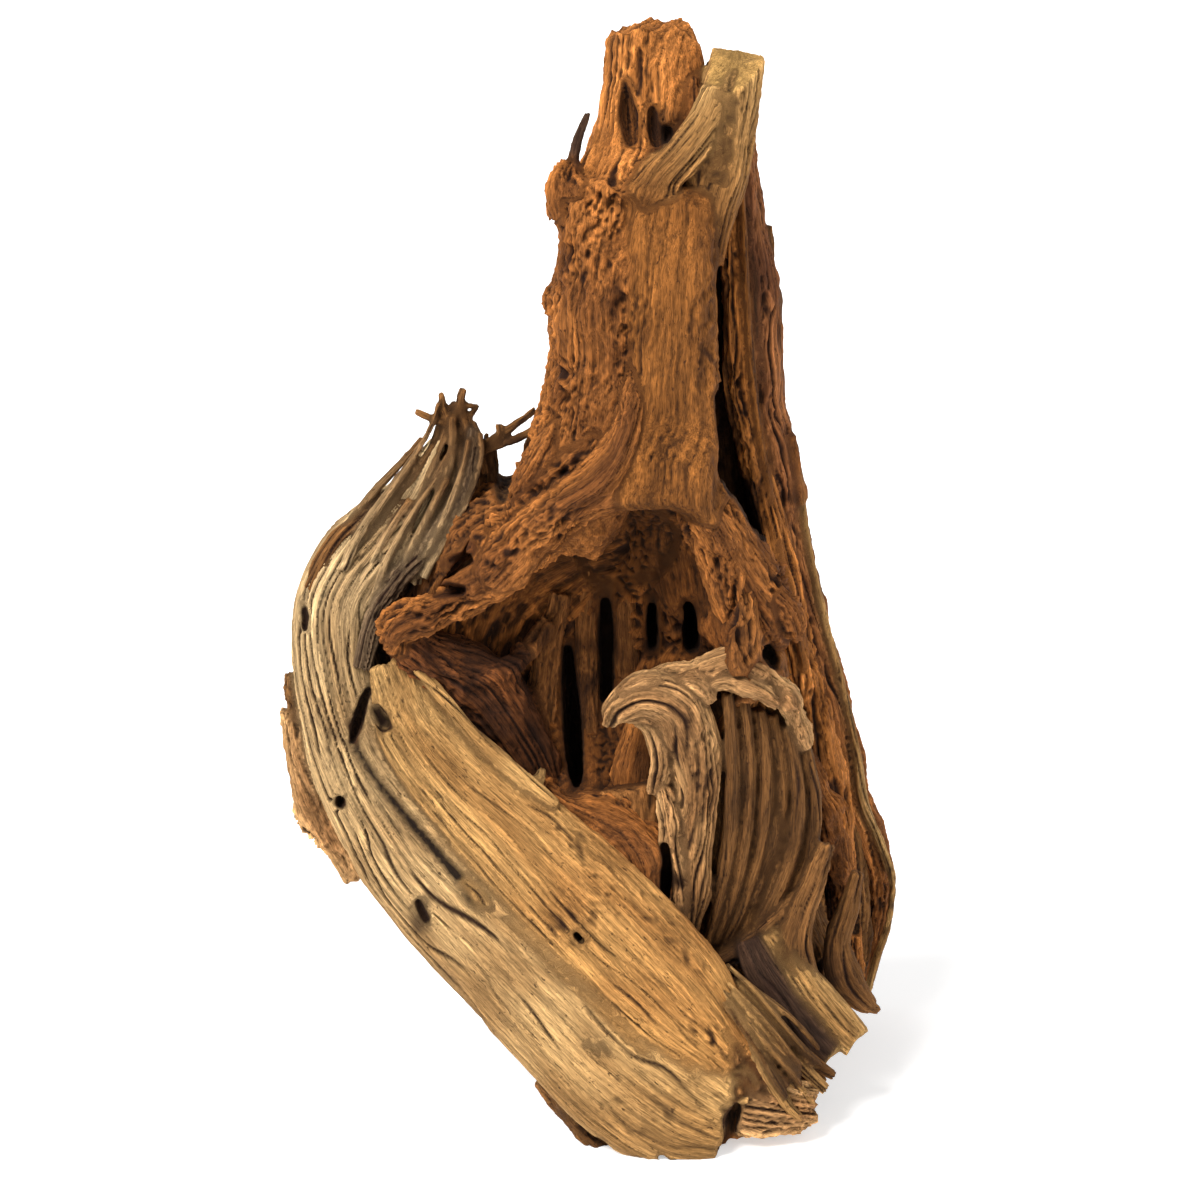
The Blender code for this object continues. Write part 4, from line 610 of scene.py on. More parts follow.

# The limbs whose colour differs from the rest of their piece. Two colours are a change along the limb. The
# hollows, holes and splits get darker colours, partly as painted shade.
LIMB_COLOURS = {
    "core": "brown",
    "hood": ("red", "brown"),
    "tear": "rust",
    "back": "brown",
    "hollow": "rust",
    "front_face": "orange",
    "stump": "bright",
    "crown": ("tan", "orange"),
    "plank": ("tan", "amber"),
    "spray_web": "umber",
    "crown_fin": ("tan", "orange"),
    "stump_hollow_left": "rust",
    "stump_hollow_right": "rust",
    "wing_hole_high": "deep",
    "wing_hole_low": "deep",
    "see_through": "brown",
    "tear_cut": "brown",
    "long_crack": "split",
    "fringe": "brown",
    "tip_mass": "umber",
    "stump_dark_shards": "umber",
    "rim_twig": "umber",
    "cavity_stave_1": "cavity",
    "cavity_stave_2": "cavity",
    "cavity_stave_3": "cavity",
    "cavity_stave_4": "cavity",
    "cavity_stave_5": "cavity",
    "lap_1": "deep",
    "lap_2": "deep",
    "lap_3": "deep",
    "lap_4": "deep",
    "left_wall": "deep",
    "outer_slab": ("plum", "red"),
    "inner_strip": "bright",
    "slab_cap": "red",
    "slab_edge": "tan",
    "inner_rib": "orange",
    "rotten_strip": "red",
    "wing_strand": "red",
    "shell": ("sand", "tan"),
    "shell_body": "brown",
    "brown_backing": "bark",
    "brown_spur": "brown",
    "knot_patch": "umber",
    "foot": "red",
    "spray_3": "grey",
    "web_left": "rust",
    "web_right": "red",
    "web_back": "rust",
    "beam": "umber",
    "hook": ("bark", "brown"),
    "hook_fold": "bark",
    "hook_tongue": "bark",
    "hook_lump_1": "bark",
    "hook_lump_2": "bark",
    "beam_side": "tan",
    "slat_fan": "brown",
    "crest": "bark",
    "crest_front": "bark",
    "leaf_fan": ("tan", "brown"),
    "end_fan": "bark",
    "broken_end": "bark",
    "spray_fan": ("sand", "brown"),
    "spray_fan_inner": ("sand", "brown"),
    "spray_fan_back": "brown",
    "leaf_1": "tan",
    "leaf_2": "tan",
    "leaf_3": "tan",
}


def place(across, down, forward):
    """The points of the sight lines through places in the view, at depths given in steps forward."""
    sine = math.sin(VIEW_TILT)
    cosine = math.cos(VIEW_TILT)
    right = (across - VIEW_CENTRE) * STEP
    up = (VIEW_CENTRE - down) * STEP
    reach = (VIEW_DISTANCE * cosine - forward * STEP) / (VIEW_DISTANCE * cosine + up * sine)
    x = ORIGIN_SHIFT[0] + right * reach
    y = ORIGIN_SHIFT[1] - forward * STEP
    z = VIEW_HEIGHT + VIEW_DISTANCE * sine + (up * cosine - VIEW_DISTANCE * sine) * reach
    return np.stack([x, y, z], axis=-1)


def hashed(x, y, z, seed):
    """Even random numbers, -1 to 1, fixed to whole-number places."""
    mixed = x * 374761393 + y * 668265263 + z * 1274126177 + seed * 974634777
    mixed = (mixed ^ (mixed >> 13)) * 1103515245 & 0x7FFFFFFF
    mixed = (mixed ^ (mixed >> 15)) * 12345677
    return (mixed & 0xFFFFFF) / 0x7FFFFF - 1.0


def lumps(points, seed):
    """Smooth random heights, -1 to 1, at points measured in lumps."""
    whole = np.floor(points).astype(np.int64)
    part = points - whole
    part = part * part * (3 - 2 * part)
    total = np.zeros(points.shape[:-1])
    for corner in np.ndindex(2, 2, 2):
        weight = np.abs(1 - np.array(corner) - part).prod(axis=-1)
        total += weight * hashed(*np.moveaxis(whole + corner, -1, 0), seed)
    return total


def smooth_run(stations, count):
    """Evenly spaced rows of a smooth curve that passes through every station."""
    padded = np.vstack([2 * stations[0] - stations[1], stations, 2 * stations[-1] - stations[-2]])
    run = np.linspace(0, len(stations) - 1 - 1e-9, count)
    first = run.astype(int)
    t = (run - first)[:, None]
    a, b, c, d = (padded[first + offset] for offset in range(4))
    return 0.5 * (2 * b + (c - a) * t + (2 * a - 5 * b + 4 * c - d) * t**2 + (3 * b - a - 3 * c + d) * t**3)


def unit(vectors):
    return vectors / np.linalg.norm(vectors, axis=-1, keepdims=True)


def relief(surface, across, deep, along, seed):
    """How far the wood stands proud, in steps, at places in steps across, deep and along the grain."""
    if isinstance(surface, tuple):
        first, last = (relief(name, across, deep, along, seed) for name in surface)
        return first + (last - first) * along / along.max()
    furrow_height, furrow_spacing, lump_height, lump_length = SURFACES[surface]
    place_in_wood = np.stack([across, deep, along], axis=-1)
    wander = lumps(place_in_wood / GRAIN_WANDER, seed + 7)[..., None] * (0.8, -0.8, 0)
    furrow_shape = (furrow_spacing, furrow_spacing, furrow_spacing * GRAIN_STRETCH)
    ridges = 0.5 - 2 * np.abs(lumps(place_in_wood / furrow_shape + wander, seed))
    swellings = lumps(place_in_wood / (lump_length, lump_length, lump_length * 1.5), seed + 3)
    return furrow_height * ridges + lump_height * swellings


def saw_off(points, centre, grain, direction, end):
    """Slides the last rings back along the grain, as far as a plane through the end's centre."""
    across, up, forward = direction
    normal = unit(np.array([across, -forward, up]))
    outward = -1 if end == 0 else 1
    reach = int(min(len(points) / 2, SAWN_LENGTH / LOFT_SPACING))
    for row in range(reach) if end == 0 else range(len(points) - reach, len(points)):
        over = np.maximum((points[row] - centre) @ normal, 0)
        points[row] -= outward * (over / max(outward * grain[row] @ normal, 0.2))[:, None] * grain[row]


def strands(name, fan):
    """The limbs of a fan, between its first and its last strand."""
    first, last = (np.array(fan[key], float) for key in ("first", "last"))
    found = []
    for index in range(fan["count"]):
        share = index / (fan["count"] - 1)
        forward, start, end, bend = (float(hashed(index, salt, 0, sum(map(ord, name)))) for salt in range(4))
        run = smooth_run(first * (1 - share) + last * share, 60)
        run = run[int(30 * fan["ragged"] * (1 + start)):60 - int(30 * fan["ragged"] * (1 + end))][::8]
        run[:, 2] += fan["uneven"] * forward
        run[:, 0] += fan["bend"] * bend * np.sin(np.linspace(0, 5, len(run)) + 3 * start)
        found.append(Limb(name, {**fan, "stations": run}, index))
    return found


class Limb:
    """A limb's rings of points, and for each ring its centre, its directions and its place along the grain."""

    def __init__(self, name, limb, number=0):
        self.name = name
        self.swell = limb.get("swell", False)
        self.upright = limb.get("upright", False)
        self.sawn = [end for end, key in ((0, "cut_start"), (1, "cut_end")) if key in limb]
        self.surface = limb["surface"]
        self.seed = sum(map(ord, name)) + 13 * number
        stations = np.array(limb["stations"], float)
        length = np.linalg.norm(np.diff(place(*stations.T[:3]), axis=0), axis=1).sum()
        rows = smooth_run(stations, max(int(length / LOFT_SPACING), 2 * len(stations)))
        half_width, half_depth = np.maximum(rows[:, 3:].T[..., None], THINNEST)
        self.centres = place(*rows.T[:3])
        self.grain = unit(np.gradient(self.centres, axis=0))
        sight = np.array([0.0, -math.cos(VIEW_TILT), math.sin(VIEW_TILT)])
        self.forward = unit(sight - self.grain * (self.grain @ sight)[:, None])
        self.side = np.cross(self.forward, self.grain)
        widest = np.pi * (half_width + half_depth).max() * STEP
        count = int(np.clip(widest / LOFT_SPACING, FEWEST_SIDES, MOST_SIDES))
        angles = np.arange(count) * 2 * math.pi / count
        power = 2 / limb.get("squareness", 2)
        across = half_width * np.sign(np.cos(angles)) * np.abs(np.cos(angles)) ** power
        deep = half_depth * np.sign(np.sin(angles)) * np.abs(np.sin(angles)) ** power
        lengths = np.linalg.norm(np.diff(self.centres, axis=0), axis=1)
        self.along = np.concatenate([[0], lengths.cumsum()]) / STEP
        along = np.broadcast_to(self.along[:, None], across.shape)
        self.slimness = np.clip(np.minimum(half_width, half_depth)[:, 0] / FULL_RELIEF, 0.15, 1)
        self.half_width = half_width[:, 0]
        self.half_depth = half_depth[:, 0]
        proud = relief(self.surface, across, deep, along, self.seed) * self.slimness[:, None]
        swelling = 1 + proud / np.hypot(across, deep)
        across = across * swelling
        deep = deep * swelling + limb.get("cup", 0) * (across / half_width) ** 2
        sideways = across[..., None] * self.side[:, None] + deep[..., None] * self.forward[:, None]
        self.points = self.centres[:, None] + STEP * sideways
        tooth_places = np.stack([across, deep, np.zeros_like(deep)], axis=-1) / TOOTH
        for end, height in zip((0, -1), limb.get("jag", (0, 0))):
            teeth = height * STEP * lumps(tooth_places[end], self.seed + 11)
            fade = np.clip(1 - np.abs(np.arange(len(rows)) - end % len(rows)) / (len(rows) * 0.25), 0, 1)
            self.points += (fade[:, None] * teeth)[..., None] * self.grain[:, None]
        for end, key in ((0, "cut_start"), (-1, "cut_end")):
            if key in limb:
                saw_off(self.points, self.centres[end], self.grain, limb[key], end)


class Splinter:
    """A thin tapered sliver that lifts off a limb along its grain."""

    def __init__(self, limb, number):
        place_in_ring, row, length, width, tilt, way = (hashed(number, salt, 3, limb.seed) for salt in range(6))
        row = int((0.5 + 0.45 * row) * (len(limb.points) - 1))
        ring = limb.points[row]
        base = ring[int((0.5 + 0.499 * place_in_ring) * len(ring))]
        outward = unit(base - limb.centres[row])
        outward = unit(outward - limb.grain[row] * (outward @ limb.grain[row]))
        direction = unit(limb.grain[row] * np.sign(way) + outward * (0.32 + 0.2 * tilt))
        side = np.cross(direction, outward)
        over = np.cross(side, direction)
        radius = STEP * (2.3 + 0.8 * width)
        reach = STEP * (13 + 8 * length)
        share = np.array([0, 0.3, 0.6, 0.85, 1.0])[:, None, None]
        turn = np.arange(6)[:, None] * math.pi / 3
        ring_shape = np.cos(turn) * side + 0.6 * np.sin(turn) * over
        middle = base - outward * radius + direction * reach * share
        self.points = middle + ring_shape * radius * (1 - 0.8 * share)


def splinters(limb):
    surface = limb.surface[0] if isinstance(limb.surface, tuple) else limb.surface
    if surface not in SPLINTER_GAP or limb.swell:
        return []
    count = int(limb.along[-1] / SPLINTER_GAP[surface] * np.clip(limb.slimness.mean() * 1.5, 0.3, 2))
    return [Splinter(limb, number) for number in range(count)]


def loft_object(name, limbs):
    """One object of closed lofts: quads between the rings, and a fan over each end."""
    points = []
    faces = []
    start = 0
    for limb in limbs:
        rings, around, _ = limb.points.shape
        ring = start + np.arange(rings - 1)[:, None] * around
        side = np.arange(around)
        after = (side + 1) % around
        quads = np.stack([ring + side, ring + after, ring + around + after, ring + around + side], -1)
        faces += quads.reshape(-1, 4).tolist()
        last = start + (rings - 1) * around
        tips = start + rings * around
        faces += [(tips, start + int(b), start + int(a)) for a, b in zip(side, after)]
        faces += [(tips + 1, last + int(a), last + int(b)) for a, b in zip(side, after)]
        ends = [limb.points[end].mean(axis=0)[None] for end in (0, -1)]
        points += [limb.points.reshape(-1, 3), *ends]
        start = tips + 2
    mesh = bpy.data.meshes.new(name)
    mesh.from_pydata(np.concatenate(points), [], faces)
    made = bpy.data.objects.new(name, mesh)
    bpy.context.scene.collection.objects.link(made)
    return made


def apply_modifiers(obj):
    old = obj.data
    obj.data = bpy.data.meshes.new_from_object(obj.evaluated_get(bpy.context.evaluated_depsgraph_get()))
    obj.modifiers.clear()
    bpy.data.meshes.remove(old)


def fuse(obj, cell):
    """Puts one skin round an object's overlapping limbs."""
    remesh = obj.modifiers.new("skin", "REMESH")
    remesh.mode = "VOXEL"
    remesh.voxel_size = cell
    apply_modifiers(obj)


def cut(obj, cutter):
    boolean = obj.modifiers.new("cut", "BOOLEAN")
    boolean.operation = "DIFFERENCE"
    boolean.object = cutter
    boolean.solver = "MANIFOLD"
    apply_modifiers(obj)


def lighten(obj, triangles):
    """Thins a skin's faces out where it is flattest."""
    faces = 2 * len(obj.data.polygons)
    if faces <= triangles:
        return
    thinner = obj.modifiers.new("thinner", "DECIMATE")
    thinner.ratio = triangles / faces
    apply_modifiers(obj)


def read(items, name, width):
    found = np.empty(len(items) * width, np.float32 if width > 2 else np.int32)
    items.foreach_get(name, found)
    return found.reshape(-1, width)


def softened(values, edges, rounds):
    """Values at a mesh's points, each drawn halfway to the mean of its neighbours, a few times."""
    count = np.bincount(edges.ravel(), minlength=len(values)).clip(1)
    for _ in range(rounds):
        mean = np.empty_like(values)
        for column in range(values.shape[1]):
            mean[:, column] = np.bincount(edges[:, 0], values[edges[:, 1], column], len(values))
            mean[:, column] += np.bincount(edges[:, 1], values[edges[:, 0], column], len(values))
        values = (values + mean / count[:, None]) / 2
    return values


def linear(colour):
    """The light that a screen colour gives."""
    share = np.array(colour) / 255
    return np.where(share > 0.04045, ((share + 0.055) / 1.055) ** 2.4, share / 12.92)


def fine_relief(places, surface_rows, seeds):
    """Height of the strands, cracks, fibres, pits and rot, how deep they lie, and each strand's shade."""
    gap, strand_step, crack, fibre, pit, rot = surface_rows.T
    round_limb, deep, along = places.T
    shift = np.stack([seeds * 1.37, seeds * 2.11, seeds * 0.73], axis=-1)
    flow = np.stack([round_limb, deep, along], axis=-1)
    wander = 1.3 * lumps(flow / (60, 60, 100) + shift, 5) + 0.6 * lumps(flow / (20, 20, 44) + shift, 6)
    wander = wander * np.minimum(10 / gap, 1)
    wander += 0.6 * lumps(np.stack([round_limb / (gap * 2.6), seeds, along / 300], axis=-1), 7)
    strand = round_limb / gap + wander
    index = np.floor(strand)
    from_edge = np.minimum(strand - index, index + 1 - strand) * gap
    level = lumps(np.stack([index + seeds, deep * 0, along / 95], axis=-1), 11)
    level += 0.5 * lumps(np.stack([index + seeds, deep * 0, along / 30], axis=-1), 12)
    edge = np.rint(strand) + seeds
    opening = np.clip(0.2 + 1.6 * lumps(np.stack([edge, deep * 0, along / 60], axis=-1), 13), 0, 1.25)
    cracks = np.clip(1 - from_edge / CRACK_WIDTH, 0, 1) * opening
    rounding = np.clip(1 - from_edge / (0.3 * gap), 0, 1) ** 2
    lines = flow / (4.6, 9, 60) + shift
    fibres = 0.5 - 2 * np.abs(lumps(lines, 21)) + 0.6 * lumps(lines * (2.1, 2, 1.7), 22)
    patches = np.clip(0.25 + 1.6 * lumps(flow / (38, 38, 60) + shift, 42), 0, 1.2)
    turned = (flow + 5 * wander[:, None]) * (1, 1, 0.66) @ TURN + shift
    pits = np.clip(lumps(turned / 7, 41) - 0.15, 0, None) * 2 * patches
    crumbs = np.abs(lumps(turned / 13, 53)) + 0.7 * np.abs(lumps(turned[:, ::-1] / 7, 51))
    crumbs += 0.45 * np.abs(lumps(turned / 3.8, 52))
    height = strand_step * (level - 0.6 * rounding) - crack * cracks + fibre * fibres - pit * pits
    height += rot * (0.6 - 1.3 * crumbs) * (0.4 + patches)
    return height, np.clip(cracks * np.minimum(crack / 3, 1) + pits * pit / 4, 0, 1.3), level


def openness_of(solid):
    """For each point of the plain solid, the share of the sky over its surface that nothing near hides."""
    mesh = solid.data
    tree = BVHTree.FromPolygons([v.co for v in mesh.vertices], [p.vertices for p in mesh.polygons])
    golden = math.pi * (3 - math.sqrt(5))
    heights = 1 - 2 * (np.arange(SKY_RAYS) + 0.5) / SKY_RAYS
    turns = np.arange(SKY_RAYS) * golden
    flat = np.sqrt(1 - heights**2)
    sky = [Vector(ray) for ray in np.stack([flat * np.cos(turns), flat * np.sin(turns), heights], -1)]
    found = KDTree(len(mesh.vertices))
    shares = np.empty(len(mesh.vertices))
    for index, vertex in enumerate(mesh.vertices):
        normal = vertex.normal
        start = vertex.co + normal * SKY_START
        seen = total = 0.0
        for ray in sky:
            facing = ray.dot(normal)
            if facing > 0.05:
                total += facing
                if tree.ray_cast(start, ray, SKY_REACH)[0] is None:
                    seen += facing
        shares[index] = seen / max(total, 0.05)
        found.insert(vertex.co, index)
    found.balance()
    edges = read(mesh.edges, "vertices", 2)
    for _ in range(2):
        open_side = shares.copy()
        np.maximum.at(open_side, edges[:, 0], shares[edges[:, 1]])
        np.maximum.at(open_side, edges[:, 1], shares[edges[:, 0]])
        shares = open_side
    return found, shares


def add_attribute(mesh, name, kind, values):
    attribute = mesh.attributes.new(name, kind, "POINT")
    key = {"FLOAT": "value", "FLOAT_VECTOR": "vector", "FLOAT_COLOR": "color"}[kind]
    attribute.data.foreach_set(key, np.ascontiguousarray(values, np.float32).ravel())


def limb_rows(limbs):
    """Every ring of the limbs in one list: centre, directions, place along the grain, slimness and limb."""
    rows = {
        "centre": np.concatenate([limb.centres for limb in limbs]),
        "side": np.concatenate([limb.side for limb in limbs]),
        "forward": np.concatenate([limb.forward for limb in limbs]),
        "grain": np.concatenate([limb.grain for limb in limbs]),
        "along": np.concatenate([limb.along for limb in limbs]),
        "share": np.concatenate([limb.along / limb.along[-1] for limb in limbs]),
        "slimness": np.concatenate([limb.slimness for limb in limbs]),
        "half_depth": np.concatenate([limb.half_depth for limb in limbs]),
        "taper": np.concatenate([np.median(limb.half_width) / limb.half_width for limb in limbs]),
        "limb": np.repeat(np.arange(len(limbs)), [len(limb.centres) for limb in limbs]),
    }
    return rows


def nearest_rings(points, limbs):
    """For each point, the ring of the nearest point of the limbs' lofts."""
    tree = KDTree(sum(limb.points.shape[0] * limb.points.shape[1] for limb in limbs))
    ring = 0
    for limb in limbs:
        for row in limb.points:
            for point in row:
                tree.insert(point, ring)
            ring += 1
    tree.balance()
    return np.array([tree.find(point)[1] for point in points])


def tone(limbs, rows, ring, places, piece_colour):
    """Each point's own colour, as light, before its streaks."""
    colour = np.empty((len(ring), 3))
    owner = rows["limb"][ring]
    mottle = 0.5 + 0.9 * lumps(places / (26, 26, 60), 61) + 0.5 * lumps(places / (9, 9, 30), 62)
    mottle = np.clip(mottle, 0, 1)
    for index, limb in enumerate(limbs):
        here = owner == index
        # Openings take the dark crack colour on their walls, partly as painted shade.
        names = LIMB_COLOURS.get(limb.name, "crack" if limb.name in OPENINGS else piece_colour)
        first, last = names if isinstance(names, tuple) else (names, names)
        share = rows["share"][ring[here]][:, None]
        blend = mottle[here][:, None]
        start = linear(COLOURS[first][0]) * (1 - blend) + linear(COLOURS[first][1]) * blend
        finish = linear(COLOURS[last][0]) * (1 - blend) + linear(COLOURS[last][1]) * blend
        colour[here] = start * (1 - share) + finish * share
    return colour * WOOD_SHADE


def fill_creases(mesh, points, edges, passes, filled):
    """Lifts the sharp creases where limbs meet, and leaves their crests and the openings."""
    for _ in range(passes):
        mesh.vertices.foreach_set("co", points.astype(np.float32).ravel())
        mesh.update()
        normals = read(mesh.vertex_normals, "vector", 3).astype(float)
        lift = ((softened(points, edges, FILL_ROUNDS) - points) * normals).sum(axis=1)
        points = points + normals * (np.clip(lift, 0, None) * filled)[:, None]
    return points


def carve(piece, limbs, openings_from, sky, piece_colour, passes):
    """Works the fine relief into a piece's skin, and stores what its material reads."""
    mesh = piece.data
    points = read(mesh.vertices, "co", 3).astype(float)
    edges = read(mesh.edges, "vertices", 2)
    every_limb = [limb for limb in limbs if not limb.swell] + openings_from
    rows = limb_rows(every_limb)
    ring = nearest_rings(points, every_limb)
    owner = rows["limb"][ring]
    opened = np.array([limb.name in OPENINGS for limb in every_limb])[owner]
    filled = softened((~opened).astype(float)[:, None], edges, 4)[:, 0] ** 2
    points = softened(fill_creases(mesh, points, edges, passes, filled), edges, SKIN_SOFTENING)
    mesh.vertices.foreach_set("co", points.astype(np.float32).ravel())
    mesh.update()
    apart = points - rows["centre"][ring]
    across = (apart * rows["side"][ring]).sum(axis=1) / STEP
    deep = (apart * rows["forward"][ring]).sum(axis=1) / STEP
    along = rows["along"][ring] + (apart * rows["grain"][ring]).sum(axis=1) / STEP
    half_depth = rows["half_depth"][ring]
    round_limb = across + np.tanh(across / 6) * np.clip(half_depth - deep, 0, 2 * half_depth)
    places = np.stack([round_limb * np.clip(rows["taper"][ring], 0.7, 1.3), deep, along], axis=-1)
    upright = np.array([limb.upright for limb in every_limb])[owner]
    x, y, z = points.T / STEP
    places = np.where(upright[:, None], np.stack([x - 0.6 * y, -y, -z], axis=-1), places)
    places = softened(places, edges, 2)
    share = rows["share"][ring][:, None]
    surfaces = [
        limb.surface if isinstance(limb.surface, tuple) else (limb.surface, limb.surface) for limb in every_limb]
    first = np.array([FINE_RELIEF[pair[0]] for pair in surfaces])[owner]
    last = np.array([FINE_RELIEF[pair[1]] for pair in surfaces])[owner]
    seeds = np.array([limb.seed % 97 * (not limb.upright) for limb in every_limb])[owner]
    surface_rows = softened(first * (1 - share) + last * share, edges, 16)
    height, depth, level = fine_relief(places, surface_rows, seeds)
    height *= np.clip(rows["slimness"][ring] * 1.2, 0.3, 1)
    border = owner[edges[:, 0]] != owner[edges[:, 1]]
    border = np.bincount(edges[border].ravel(), minlength=len(points))[:, None] > 0
    border = np.clip(softened(border.astype(float), edges, 3)[:, 0] * 2.2, 0, 1)
    height = height * (1 - border) + softened(height[:, None], edges, 8)[:, 0] * border
    depth = softened((depth * (1 - border))[:, None], edges, 1)[:, 0]
    normals = read(mesh.vertex_normals, "vector", 3).astype(float)
    sawn = np.zeros(len(points), bool)
    for index, limb in enumerate(every_limb):
        for end in limb.sawn:
            facing = (normals * rows["grain"][ring]).sum(axis=1) * (2 * end - 1) > 0.5
            sawn |= facing & (np.abs(along - end * limb.along[-1]) < SAWN_LENGTH / STEP) & (owner == index)
    sawn = softened(sawn.astype(float)[:, None], edges, 2)[:, 0]
    height *= 1 - 0.75 * sawn
    depth *= 1 - sawn
    points += normals * (height * STEP)[:, None]
    points[:, 2] = np.maximum(points[:, 2], 0)
    mesh.vertices.foreach_set("co", points.astype(np.float32).ravel())
    mesh.update()
    mesh.shade_smooth()
    # How hollow each point lies, from which the material paints shade in the creases and a highlight on the
    # crests.
    hollows = ((softened(points, edges, CREASE_ROUNDS) - points) * normals).sum(axis=1) / CREASE_DEPTH
    found, shares = sky
    openness = np.array([shares[found.find(point)[1]] for point in points])
    colours = tone(every_limb, rows, ring, places, piece_colour)
    holes = 1 - softened(np.where(opened, 0.0, 1.0)[:, None], edges, 1)
    around = softened(colours * ~opened[:, None], edges, TONE_ROUNDS)
    around /= np.maximum(softened((~opened).astype(float)[:, None], edges, TONE_ROUNDS), 0.02)
    colours = around * (1 - holes) + softened(colours, edges, 1) * holes
    colours *= (1 + 0.12 * level)[:, None]
    straw = linear(COLOURS["straw"][0]) * WOOD_SHADE
    colours = colours * (1 - sawn[:, None]) + straw * sawn[:, None]
    add_attribute(mesh, "tone", "FLOAT_COLOR", np.column_stack([colours, np.ones(len(colours))]))
    add_attribute(mesh, "grain_place", "FLOAT_VECTOR", (places + seeds[:, None] * 7.0) * STEP)
    # How deep the cracks and pits lie, which the material darkens, partly as painted shade.
    add_attribute(mesh, "crack", "FLOAT", depth)
    add_attribute(mesh, "crease_shade_and_highlight", "FLOAT", np.clip(0.5 + 0.5 * hollows, 0, 1))
    # How open each point lies to the sky; the material paints shade where it is low.
    add_attribute(mesh, "openness", "FLOAT", softened(openness[:, None], edges, 20)[:, 0])


def drop_scraps(obj):
    """Removes the loose scraps that the openings leave."""
    mesh = obj.data
    joined = [[] for _ in mesh.vertices]
    for first, second in read(mesh.edges, "vertices", 2).tolist():
        joined[first].append(second)
        joined[second].append(first)
    label = [-1] * len(joined)
    sizes = []
    for start in range(len(joined)):
        if label[start] >= 0:
            continue
        label[start] = len(sizes)
        waiting = [start]
        size = 0
        while waiting:
            point = waiting.pop()
            size += 1
            for other in joined[point]:
                if label[other] < 0:
                    label[other] = label[start]
                    waiting.append(other)
        sizes.append(size)
    kept = np.array(sizes)[label] >= SMALLEST_BODY
    if kept.all():
        return
    index = np.cumsum(kept) - 1
    faces = [list(polygon.vertices) for polygon in mesh.polygons]
    faces = [[int(index[vertex]) for vertex in face] for face in faces if kept[face[0]]]
    clean = bpy.data.meshes.new(mesh.name)
    clean.from_pydata(read(mesh.vertices, "co", 3)[kept], [], faces)
    obj.data = clean
    bpy.data.meshes.remove(mesh)


class Nodes:
    """Short calls for one material's nodes."""

    def __init__(self, tree):
        self.tree = tree

    def add(self, kind, inputs=(), **settings):
        node = self.tree.nodes.new(kind)
        for name, value in settings.items():
            setattr(node, name, value)
        for name, value in dict(inputs).items():
            if isinstance(value, bpy.types.NodeSocket):
                self.tree.links.new(value, node.inputs[name])
            else:
                node.inputs[name].default_value = value
        return node

    def attribute(self, name, output):
        return self.add("ShaderNodeAttribute", attribute_name=name).outputs[output]

    def streaks(self, grain, across, along, detail=4.0, roughness=0.6):
        """Noise drawn out along the grain: its size across the grain and along it, in metres."""
        scaled = self.add("ShaderNodeVectorMath", operation="MULTIPLY",
                          inputs={0: grain, 1: (1 / across, 1 / across, 1 / along)})
        noise = self.add("ShaderNodeTexNoise", inputs={
            "Vector": scaled.outputs[0], "Scale": 1.0, "Detail": detail, "Roughness": roughness})
        return noise.outputs["Fac"]

    def seams(self, noise, width):
        """Thin lines where a noise crosses its middle."""
        apart = self.add("ShaderNodeMath", operation="SUBTRACT", inputs={0: noise, 1: 0.5}).outputs[0]
        apart = self.add("ShaderNodeMath", operation="ABSOLUTE", inputs={0: apart}).outputs[0]
        return self.spread(apart, 0.0, width, 1.0, 0.0)

    def spread(self, value, low, high, to_low, to_high):
        """Carries a value from one range to another, and stops at its ends."""
        return self.add("ShaderNodeMapRange", inputs={
            "Value": value, "From Min": low, "From Max": high, "To Min": to_low, "To Max": to_high}).outputs[0]

    def times(self, colour, factor):
        """A colour made brighter or darker all over."""
        scaled = {0: colour, "Scale": factor}
        return self.add("ShaderNodeVectorMath", operation="SCALE", inputs=scaled).outputs[0]

    def mixed(self, amount, first, second):
        mix = self.add("ShaderNodeMix", data_type="RGBA", inputs={0: amount})
        for socket, value in ((mix.inputs[6], first), (mix.inputs[7], second)):
            if isinstance(value, bpy.types.NodeSocket):
                self.tree.links.new(value, socket)
            else:
                socket.default_value = value
        return mix.outputs[2]

    def product(self, first, second):
        return self.add("ShaderNodeMath", operation="MULTIPLY", inputs={0: first, 1: second}).outputs[0]


